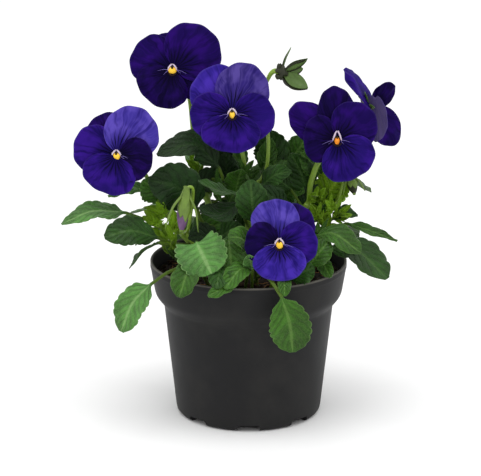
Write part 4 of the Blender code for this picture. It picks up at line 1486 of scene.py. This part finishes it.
TUFTS = (
    StipuleTuft("stipules_left_low", (-46, -25, 110), (-0.2, -0.4, 0.8), 7, 17, LIME, 3),
    StipuleTuft("stipules_left_mid", (-47, -18, 117), (-0.3, -0.3, 0.9), 7, 17, LIME, 5),
    StipuleTuft("stipules_left_high", (-51, -10, 128), (-0.7, -0.2, 0.7), 6, 15, LIME, 8),
    StipuleTuft("stipules_back_left", (-31, 15, 148), (-0.6, -0.5, 0.5), 6, 14, LIME, 13),
    StipuleTuft("stipules_middle", (-1, 6, 146), (0.1, -0.5, 0.8), 6, 14, MID, 21),
    StipuleTuft("stipules_right_high", (38, 2, 132), (0.1, -0.6, 0.7), 6, 13, LIME, 34),
    StipuleTuft("stipules_right_mid", (44, -6, 120), (0.3, -0.4, 0.9), 7, 18, LIME, 55),
    StipuleTuft("stipules_right_low", (42, -16, 112), (-0.1, -0.4, 0.9), 6, 15, MID, 89),
    StipuleTuft("stipules_back_right", (45, 13, 128), (0.6, 0.2, 0.7), 6, 14, MID, 144),
    StipuleTuft("stipules_left_outer", (-55, -12, 120), (-0.6, -0.5, 0.6), 7, 16, LIME, 31),
    StipuleTuft("stipules_left_foot", (-42, -24, 104), (-0.5, -0.6, 0.5), 6, 14, MID, 37),
    StipuleTuft("stipules_right_outer", (52, -4, 126), (0.6, -0.4, 0.7), 7, 17, LIME, 43),
    StipuleTuft("stipules_right_foot", (37, -10, 108), (0.2, -0.7, 0.6), 6, 14, MID, 47),
    StipuleTuft("stipules_middle_left", (-20, 0, 140), (-0.2, -0.7, 0.6), 6, 13, MID, 53),
    StipuleTuft("stipules_rear", (-8, 20, 118), (0.0, 0.8, 0.6), 7, 14, MID, 233),
)


# ------------------------------------------------------------------------------------- flowers


@dataclass(frozen=True)
class Petal:
    """One petal, a round fan from the throat.

    Attributes:
        angle: its direction about the throat as seen from the front, in degrees, 90 being up.
        reach: how far its edge is from the throat.
        half_width: half of its width.
        layer: which layer of the flower it lies in, 0 being the lateral petals'.
        tone: how dark it is.
        tilt: how far its tip leans forward, in degrees.
        cup: how far its sides lie forward of its middle, in millimetres.
        notch: how deep the notch in its edge is, as a share of its reach.
        curl: how far its edge rolls back, in millimetres.
        aim: the direction that it points in, where it doesn't lie on the flower's dish.
        face: the direction that its front faces, with aim.
        root: where its claw is, from the throat, with aim.
    """

    angle: float
    reach: float
    half_width: float
    layer: float
    tone: PetalTone
    tilt: float = 0.0
    cup: float = 0.0
    notch: float = 0.0
    curl: float = 1.0
    aim: Triple | None = None
    face: Triple = (0.0, -1.0, 0.0)
    root: Triple = (0.0, 0.0, 0.0)

    def point(self, centre: Vector, x: float, y: float, height: float) -> Vector:
        """Return a point of a petal that has its own aim: x along it, y across and height in front."""
        ahead = Vector(self.aim).normalized()
        face = Vector(self.face)
        normal = (face - ahead * face.dot(ahead)).normalized()
        return centre + Vector(self.root) + ahead * x + normal.cross(ahead) * y + normal * height


@dataclass(frozen=True)
class Pansy:
    """One open flower on a hooked stalk.

    Attributes:
        name: the start of its nodes' names.
        centre: the throat's place.
        facing: the direction that it faces.
        roll: its calyx's turn, in degrees.
        reach: the length of its upper petals.
        seat: what carries the stalk, as in seat_for.
        path: the points that the stalk passes through, from under the flower down.
        petals: its petals by name.
        beard: how tall the white tufts over the throat stand.
        throat: the throat pad's finish.
        stalk: the stalk's radius.
    """

    name: str
    centre: Triple
    facing: Triple
    roll: float
    reach: float
    seat: tuple
    path: tuple
    petals: dict[str, Petal]
    beard: float = 3.1
    throat: Finish = YELLOW
    stalk: float = 1.3

    layer_step = 1.0
    dish = 1.8
    thickness = 0.34
    claw = 1.9
    rows = 24
    columns = 53
    fan = 152
    sepal_reach = 10.2
    sepal_width = 3.8
    mouth = 2.7
    hairs = 60

    def axes(self, roll: float = 0.0) -> tuple[Vector, Vector, Vector]:
        """Return the flower's right, up and forward directions, turned by roll degrees."""
        forward = Vector(self.facing).normalized()
        level = UP.cross(forward).normalized()
        upright = forward.cross(level)
        turn = math.radians(roll)
        right = level * math.cos(turn) + upright * math.sin(turn)
        return right, forward.cross(right), forward

    def point(self, x: float, y: float, height: float) -> Vector:
        """Return a point over the dished face: x to the right, y up, height forward of the dish."""
        right, over, forward = self.axes()
        bowl = -self.dish * y * math.hypot(x, y) / self.reach**2
        return Vector(self.centre) + right * x + over * y + forward * (bowl + height)

    def build(self) -> None:
        """Make the petals, the stalk with its calyx, and the throat."""
        for number, (part, petal) in enumerate(self.petals.items()):
            self.build_petal(part, petal, number)
        self.build_stalk()
        self.build_throat()

    def build_petal(self, part: str, petal: Petal, number: int) -> None:
        """Make one petal.

        Args:
            part: the petal's name on the flower.
            petal: its plan.
            number: its place in the flower, which sets its pattern.
        """
        seed = sum(self.centre) * 0.13 + number * 3.7
        turn = math.radians(petal.angle)
        half_length = petal.reach / 2
        front, back, spots = [], [], []
        for i in range(self.rows):
            share = (i / (self.rows - 1)) ** 0.9
            lines = ([], [], [])
            for j in range(self.columns):
                side = 2 * j / (self.columns - 1) - 1
                sweep = math.radians(self.fan) * side
                scallop = 0.012 * math.sin(3.3 * sweep + seed) + 0.008 * math.sin(9 * sweep + 2 * seed)
                bite = petal.notch * math.exp(-((side / 0.1) ** 2))
                grow = 1 + scallop - bite
                tip_x = (half_length + half_length * math.cos(sweep)) * grow
                tip_y = petal.half_width * math.sin(sweep) * grow
                inner = Vector((math.cos(side * 1.2), math.sin(side * 1.2))) * self.claw
                flat = inner.lerp(Vector((tip_x, tip_y)), share)
                x = flat.x * math.cos(turn) - flat.y * math.sin(turn)
                y = flat.x * math.sin(turn) + flat.y * math.cos(turn)
                out = flat.length / petal.reach
                slope = math.tan(math.radians(petal.tilt)) * flat.x * ease(out, 0.1, 0.7)
                lift = petal.layer * self.layer_step + slope
                lift += petal.cup * (flat.y / petal.half_width) ** 2 * out
                lift -= petal.curl * ease(share, 0.72, 1.0) * ease(out, 0.4, 0.9)
                wave = math.sin(4.2 * side * math.pi + seed)
                wave += 0.6 * math.sin(7.7 * side * math.pi + 2.3 * seed)
                lift += 0.42 * wave * ease(share, 0.45, 1.0) * ease(out, 0.3, 0.8)
                pleat = 0.05 * math.sin(17 * side * math.pi + 3 * math.sin(seed)) * ease(share, 0.05, 0.3)
                for line, offset in zip(lines, (self.thickness / 2, -self.thickness / 2)):
                    height = lift + pleat + offset
                    if petal.aim:
                        line.append(petal.point(Vector(self.centre), flat.x, flat.y, height))
                    else:
                        line.append(self.point(x, y, height))
                lines[2].append(((side + 1) / 2, share))
            for grid, line in zip((front, back, spots), lines):
                grid.append(line)
        skin = Skin()
        skin.sheet(front, back, spots)
        finish = petal.tone.value.finish(f"{self.name}_{part}_finish", seed % 23)
        settle(skin.build(f"{self.name}_{part}_petal", finish), Slot.PETAL, f"{self.name}_{part}")

    def build_stalk(self) -> None:
        """Make the stalk, the receptacle, the five sepals and the spur."""
        skin = Skin()
        right, over, forward = self.axes(self.roll)
        back = -2 * self.layer_step - 0.9
        neck = Vector(self.centre) + forward * (back - 1.0)
        way = [Vector(p) for p in self.path]
        root, away = seat_for(self.seat, way[-1])
        hook = [neck + forward * 0.6, neck - forward * 4 + UP * 1.2, neck - forward * 8 - UP * 1.5]
        line = smooth_path([*hook, *way, root + away * 3, root], 70)
        radii = [self.stalk * (1 + 0.9 * math.exp(-k / 2.5)) for k in range(70)]
        skin.tube(line, radii, 14)
        for k in range(5):
            angle = math.radians(90 + 72 * k)
            spoke = right * math.cos(angle) + over * math.sin(angle)
            seat = Vector(self.centre) + forward * (back - 0.8)
            tip = seat + spoke * self.sepal_reach + forward * 0.4
            path = [seat - spoke * 2.6 - forward * 2.2, seat + spoke * 1.0,
                    seat.lerp(tip, 0.55) + forward * 0.4, tip]
            narrow_blade(skin, path, self.sepal_width, forward, 0.5, 0.45, 0.15)
        settle(skin.build(f"{self.name}_stalk_and_calyx", CALYX if self.name.endswith("far_right") else STEM),
               Slot.STEM, f"{self.name}_stalk")
        spur = Skin()
        base = Vector(self.centre) - over * 1.2 + forward * (back + 1)
        spur.tube(smooth_path([base, base - forward * 4 - over * 0.8, base - forward * 8 + over * 0.2], 12),
                  [1.5, 1.5, 1.45, 1.4, 1.4, 1.4, 1.4, 1.4, 1.35, 1.2, 0.9, 0.4], 12)
        paint = PetalTone.SHEEN_SLATE.value
        finish = PetalFinish("spur_finish", paint.core, paint.body, paint.flush, 0.4, 0.2, 4.0)
        settle(spur.build(f"{self.name}_spur", finish), Slot.PETAL)

    def build_throat(self) -> None:
        """Make the throat: pad, dark mouth painted as the opening's shade, white beard, whiskers and dark
        rim.
        """
        rng = random.Random(round(sum(self.centre)) + 500)
        base = 1.25 * self.layer_step
        skin = Skin()
        skin.lump(self.point(0, -0.7, base), Vector((2.5, 1.6, 2.2)), 0.12, rng, 3)
        skin.slot = 1
        rim = [self.point(self.mouth * math.cos(a), -0.9 + self.mouth * math.sin(a), base - 0.1)
               for a in (math.radians(190 + 160 * k / 12) for k in range(13))]
        skin.tube(rim, [0.3 + 0.4 * math.sin(math.pi * k / 12) for k in range(13)], 8)
        # painted shade: a dark lump where the throat opens
        skin.slot = 2
        skin.lump(self.point(0.0, 0.75, base + 1.15), Vector((0.62, 0.8, 1.15)), 0.2, rng, 2)
        skin.slot = 3
        for sign in (-1, 1):
            crest = [self.point(sign * 2.6, -0.4, base), self.point(sign * 2.2, 0.9, base + 0.7),
                     self.point(sign * 1.2, self.beard * 0.72, base + 0.8),
                     self.point(sign * 0.25, self.beard, base)]
            crest = smooth_path(crest, 16)
            skin.tube(crest, [0.2 + 0.3 * math.sin(math.pi * (k + 2) / 19) for k in range(16)], 8)
            for _ in range(self.hairs):
                foot = crest[rng.randrange(2, 15)]
                lean = scattered(rng, -1, 1).normalized()
                end = foot + lean * rng.uniform(0.5, 0.95)
                skin.tube([foot, foot.lerp(end, 0.5), end], [0.12, 0.09, 0.03], 4)
        skin.slot = 4
        for sign in (-1, 1):
            for k in range(2):
                drop = rng.uniform(-1.6, 0.4) - k * 0.5
                far = rng.uniform(7.5, 9.5) if k == 0 else rng.uniform(4.0, 5.5)
                hair = [self.point(sign * 2.5, -0.4 - 0.3 * k, base),
                        self.point(sign * far * 0.6, drop * 0.5 - 0.3, base + 0.6),
                        self.point(sign * far, drop - 1.2, base + 0.3)]
                skin.tube(smooth_path(hair, 8), [0.2, 0.18, 0.16, 0.14, 0.12, 0.1, 0.08, 0.05], 5)
        settle(skin.build(f"{self.name}_throat", self.throat, MAROON, MOUTH_SHADE, BEARD, WHISKER), Slot.PETAL)


INK, NIGHT, VIOLET, ROYAL, SHEEN_LILAC, SHEEN_SLATE = PetalTone

FLOWERS = (
    Pansy("flower_top_left", (-46, 12, 212), (0.0, -1.0, 0.22), -26, 28, ("shoot_back_left", "tip"),
          ((-37, 27, 194), (-34, 24, 170)), {
              "upper_left": Petal(112, 22.5, 15, -2, NIGHT, -5),
              "upper_right": Petal(40, 32.5, 19, 0.6, NIGHT, 1, 0.8),
              "lateral_left": Petal(154, 26.5, 15.5, -0.2, NIGHT, 1),
              "lateral_right": Petal(-20, 26.5, 14, -0.2, INK, 1),
              "lip": Petal(240, 24, 16.5, 1, INK, 3, 0.5),
          }),
    Pansy("flower_top_middle", (-10, -6, 189), (0.05, -1.0, 0.2), 3, 29, ("shoot_middle", "tip"),
          ((-6, 8, 172),), {
              "upper_left": Petal(123, 31, 17, -2, ROYAL, -5),
              "upper_right": Petal(65, 31.5, 16.5, -1, SHEEN_SLATE, -5, 0.8),
              "lateral_left": Petal(184, 25.5, 14, 0, VIOLET, 2),
              "lateral_right": Petal(-10, 26, 14.5, 0, VIOLET, 2),
              "lip": Petal(266, 23.5, 18, 1, VIOLET, 3, 0.6),
          }),
    Pansy("flower_left", (-79, -16, 166), (-0.05, -1.0, 0.2), -17, 27, ("shoot_left", "tip"),
          ((-68, -3, 158), (-57, -7, 142)), {
              "upper_left": Petal(118, 26, 15, -2, NIGHT, -6),
              "upper_right": Petal(56, 31.5, 17, 0.2, SHEEN_LILAC, 0, 0.8),
              "lateral_left": Petal(165, 27, 14.5, -0.5, VIOLET, 0),
              "lateral_right": Petal(-14, 22, 13.5, 1.5, INK, 3, curl=0.2),
              "lip": Petal(250, 24, 16.5, 1.9, VIOLET, 3, 0.6),
          }),
    Pansy("flower_right", (53, -10, 174), (0.0, -1.0, 0.15), 28, 29, ("shoot_right", "tip"),
          ((44, 3, 160), (38, 4, 144)), {
              "upper_left": Petal(147, 33.5, 11.5, -2, NIGHT, -2),
              "upper_right": Petal(92, 31.5, 11.5, -1, INK, -2),
              "lateral_left": Petal(178, 20.5, 14.5, 0, INK, 2),
              "lateral_right": Petal(40, 27, 15, 0, NIGHT, 2),
              "lip": Petal(301, 26, 17, 1, VIOLET, 4, 0.6),
          }, 5.2, ORANGE, 1.7),
    Pansy("flower_far_right", (75, 20, 188), (0.85, 0.42, 0.25), 8, 24, ("shoot_back_right", "tip"),
          ((58, 16, 166), (48, 16, 140)), {
              "upper_right": Petal(64, 31, 10, 0, VIOLET, curl=3,
                                   aim=(-0.5, 0.1, 0.86), face=(0.85, -0.3, 0.4), root=(1, -2, -2.5)),
              "upper_left": Petal(122, 20, 6.5, 0, INK, aim=(0.5, -0.25, 0.8), face=(0.3, -0.9, 0.1),
                                  root=(1.5, 0, -2)),
              "lateral_left": Petal(184, 29, 8, 0, SHEEN_SLATE, cup=2.5,
                                    aim=(0.06, -0.1, -1.0), face=(0.65, 0.72, 0.1), root=(1.5, -6, 7.9)),
              "lateral_right": Petal(-4, 17, 8, 0, NIGHT, aim=(-0.1, 0.5, -0.45), face=(0.85, 0.2, 0.2),
                                     root=(-1, 4, 0)),
              "lip": Petal(270, 30, 10, 0, NIGHT,
                           aim=(0.47, 0.24, -0.8), face=(0.25, -0.95, 0.1), root=(1, 0, -2)),
          }),
    Pansy("flower_front", (18, -54, 122), (0.0, -0.93, 0.3), 0, 27, ("soil", 14, -34),
          ((17, -41, 110),), {
              "upper_left": Petal(100, 27, 14.5, -1, SHEEN_LILAC, -5, 0.8),
              "upper_right": Petal(56, 26.5, 14.5, -2, NIGHT, -6),
              "lateral_left": Petal(177, 20.5, 12.5, 0, INK, 2),
              "lateral_right": Petal(2, 22.8, 13, 0, VIOLET, 2),
              "lip": Petal(271, 22.3, 15.8, 1, ROYAL, 3, 0.6, 0.03),
          }),
)


# ---------------------------------------------------------------------------------------- buds


@dataclass(frozen=True)
class Bud:
    """A nodding closed bud: a thin stalk, a bud of rolled petals and the sepals that wrap it.

    Attributes:
        name: the frame's node that it stands for.
        seat: what carries the stalk, as in seat_for.
        path: the stalk's points, up to where the bud begins.
        tip: the bud's pointed end.
        radius: the bud's greatest radius.
        opening: how far the outer sepals stand off.
        sepal: the sepals' finish.
        inside: the finish of the petals in the bud.
    """

    name: str
    seat: tuple
    path: tuple
    tip: Triple
    radius: float
    opening: float
    sepal: Finish
    inside: Finish

    def build(self) -> None:
        """Make the bud."""
        way = [Vector(p) for p in self.path]
        root, away = seat_for(self.seat, way[0])
        skin = Skin()
        skin.tube(smooth_path([root, root + away * 2.5, *way], 48), [1.0] * 48, 12)
        neck, tip = way[-1], Vector(self.tip)
        down = (tip - neck).normalized()
        across = down.cross(Vector((0, 1, 0))).normalized()
        out = down.cross(across)
        length = (tip - neck).length
        skin.slot = 1
        rings = []
        for k in range(26):
            share = k / 25
            bulge = self.radius * 0.94 * math.sin(math.pi * clamp(0.1 + 0.86 * share)) ** 0.8
            centre = neck.lerp(tip, 0.05 + 0.95 * share)
            ring = []
            for a in (math.tau * j / 24 for j in range(24)):
                rolled = 1 + 0.1 * math.cos(3 * a + 5 * share)
                ring.append(centre + (across * math.cos(a) + out * math.sin(a)) * bulge * rolled)
            rings.append(ring)
        skin.loft(rings)
        skin.slot = 2
        skin.lump(tip - down * 0.6, Vector([self.radius * 0.36] * 3), 0.3, random.Random(4), 2)
        for k in range(7):
            angle = math.radians(360 / 7 * k + 12)
            spoke = across * math.cos(angle) + out * math.sin(angle)
            stands_off = k in (0, 3)
            spread = self.radius * (1.0 + 2.0 * self.opening if stands_off else 1.0)
            drop = 0.95 if stands_off else 0.62 + 0.1 * (k % 2)
            belly, end, wide = (0.72, 1.0, 0.85) if stands_off else (1.02, 0.98, 1.7)
            path = [neck - down * 3.4 + spoke * 1.8, neck + spoke * 1.3,
                    neck + down * length * 0.4 + spoke * spread * belly,
                    neck + down * length * drop + spoke * spread * end]
            narrow_blade(skin, path, self.radius * wide, spoke * -1.0, 0.5, 0.5, 0.3)
        settle(skin.build(f"{self.name}_closed", STEM, self.inside, self.sepal), Slot.STEM, self.name)


@dataclass(frozen=True)
class OpenCalyx:
    """The empty calyx at the top of the plant, its five sepals spread to the right.

    Attributes:
        name: the frame's node that it stands for.
        centre: the middle of its receptacle.
        forward: the direction that it opens in.
        stalk: the stalk's points from the receptacle down.
        sepals: each sepal's tip, width and facing.
    """

    name: str = "bud_top"
    centre: Triple = (19.0, 9.0, 211.0)
    forward: Triple = (1.0, -0.2, 0.1)
    stalk: tuple = ((12, 10.5, 207), (10, 10.5, 198), (12, 10, 165), (10, 9.5, 148))
    sepals: tuple = (
        ((25.6, 10, 226), 3.6, (0.9, -0.3, -0.4)),
        ((35.4, 6, 220), 6.4, (0.3, -0.85, -0.5)),
        ((35.6, 3, 202.5), 9.0, (0.4, -0.9, 0.35)),
        ((25.4, 14, 201), 3.2, (0.8, -0.3, 0.6)),
        ((33, 18, 211), 6.0, (0.0, -1.0, 0.0)),
    )

    def build(self) -> None:
        """Make the stalk, the receptacle and the sepals."""
        skin = Skin()
        centre = Vector(self.centre)
        forward = Vector(self.forward).normalized()
        root, away = seat_for(("shoot_middle", 0.93), Vector((12.0, 9.0, 150.0)))
        way = [centre, centre - forward * 4 + UP * 0.6, *map(Vector, self.stalk), root + away * 2.5, root]
        line = smooth_path(way, 80)
        skin.tube(line, [1.15 * (1 + 0.8 * math.exp(-k / 5)) for k in range(80)], 14)
        rng = random.Random(77)
        skin.slot = 1
        skin.lump(centre + forward * 0.6, Vector((4.2, 3.4, 4.2)), 0.5, rng, 3)
        skin.lump(centre + Vector((-0.6, -1.0, 3.4)), Vector((1.6, 1.4, 2.4)), 0.4, rng, 2)
        skin.lump(centre + Vector((-1.4, -1.2, -2.6)), Vector((2.2, 1.6, 1.8)), 0.4, rng, 2)
        for tip, width, facing in self.sepals:
            end = Vector(tip)
            face = Vector(facing).normalized()
            foot = centre + (end - centre) * 0.12 + forward * 0.5
            skin.slot = 2
            bend = foot.lerp(end, 0.5) - face * 1.0
            narrow_blade(skin, [foot, bend, end], width, face, 0.4, 0.5, 0.3)
            skin.slot = 1
            lower = Vector((-0.2, 0, -1.1)) - face * 0.5
            path = [foot + lower, bend + lower, end + lower * 0.6]
            narrow_blade(skin, path, width * 1.1, face, 0.35, 0.5, 0.3)
        settle(skin.build("open_calyx", STEM, SEPAL_DARK, CALYX), Slot.STEM, self.name)


BUDS = (
    Bud("bud_left", ("shoot_left", 0.75),
        ((-36, -26, 124), (-33, -36, 148), (-35, -40, 153), (-37, -41, 150)),
        (-40, -42, 126), 3.9, 0.8, SEPAL_PALE, BUD_MAUVE),
    Bud("bud_right", ("shoot_back_right", 0.85), ((54, 6, 132), (59, 5, 150), (61, 2, 152), (62, 0, 149)),
        (64, -3, 138), 3.4, 0.5, SEPAL_PALE, SEPAL_DARK),
)


# -------------------------------------------------------------------------------------- studio


@dataclass
class Studio:
    """The floor, the lights and the camera.

    Attributes:
        floor_size: half of the floor's width, in metres.
        sky: the strength of the light from all round.
        seen_sky: the strength that the camera sees behind the planter.
        lamps: each soft lamp's place, width and power.
        lit: the point that the lamps face.
        lens: the camera's focal length, in millimetres.
        camera_place: where the camera stands.
        camera_dip: how far it looks down, in degrees.
    """

    floor_size: float = 30.0
    sky: float = 1.0
    seen_sky: float = 0.96
    lamps: tuple = (
        ((-0.15, -0.6, 2.1), 1.2, 14.0),
        ((-1.5, 0.1, 0.7), 1.2, 3.0),
        ((1.5, 0.1, 0.7), 1.2, 3.0),
    )
    lit: Triple = (0.0, 0.0, 0.12)
    lens: float = 208.3
    camera_place: Triple = (-0.0049, -1.624, 0.5987)
    camera_dip: float = 16.77

    def build(self) -> None:
        """Set the studio up."""
        bpy.context.scene.view_settings.view_transform = "Standard"
        self.lay_floor()
        self.light()
        self.aim_camera()

    def lay_floor(self) -> None:
        """Lay a plain pale floor."""
        size = self.floor_size
        mesh = bpy.data.meshes.new("floor")
        corners = ((-size, -size), (size, -size), (size, size), (-size, size))
        mesh.from_pydata([(x, y, -0.0002) for x, y in corners], [], [(0, 1, 2, 3)])
        floor = add_object("floor", mesh)
        finish = bpy.data.materials.new("pale_floor")
        finish.use_nodes = True
        shader = finish.node_tree.nodes["Principled BSDF"]
        shader.inputs["Base Color"].default_value = (0.93, 0.93, 0.93, 1.0)
        shader.inputs["Roughness"].default_value = 0.9
        shader.inputs["Specular IOR Level"].default_value = 0.1
        mesh.materials.append(finish)

    def light(self) -> None:
        """Light the world evenly and hang the soft lamps."""
        world = bpy.data.worlds.new("studio")
        bpy.context.scene.world = world
        world.use_nodes = True
        world.node_tree.nodes.clear()
        wires = Wiring(world.node_tree)
        path = wires.node("LightPath")
        seen = wires.step(path.outputs["Is Camera Ray"], 0.0, 1.0, self.sky, self.seen_sky)
        sky = wires.node("Background", {"Color": WHITE, "Strength": seen})
        wires.node("OutputWorld", {"Surface": sky.outputs[0]})
        for number, (place, width, power) in enumerate(self.lamps):
            lamp = bpy.data.lights.new(f"soft_lamp_{number}", "AREA")
            lamp.energy = power
            lamp.size = width
            holder = add_object(lamp.name, lamp)
            holder.location = place
            ray = Vector(self.lit) - Vector(place)
            holder.rotation_euler = ray.to_track_quat("-Z", "Y").to_euler()

    def aim_camera(self) -> None:
        """Place the camera in front of the planter and a little above it."""
        lens = bpy.data.cameras.new("camera")
        lens.lens = self.lens
        lens.sensor_width = 36.0
        camera = add_object("camera", lens)
        camera.location = self.camera_place
        camera.rotation_euler = (math.radians(90 - self.camera_dip), 0.0, 0.0)
        bpy.context.scene.camera = camera


def build_all(parts: Iterable[Any]) -> None:
    """Build each part in order."""
    for part in parts:
        part.build()


def main() -> None:
    """Build the studio and the planter."""
    logging.basicConfig(level=logging.INFO, format="%(message)s")
    build_all([Studio(), NurseryPot(), COMPOST_PLUG])
    build_all(SHOOTS.values())
    build_all(LEAVES)
    build_all(SMALL_LEAVES)
    build_all([Thicket(), *TUFTS])
    build_all(FLOWERS)
    build_all([*BUDS, OpenCalyx()])


if __name__ == "__main__":
    main()
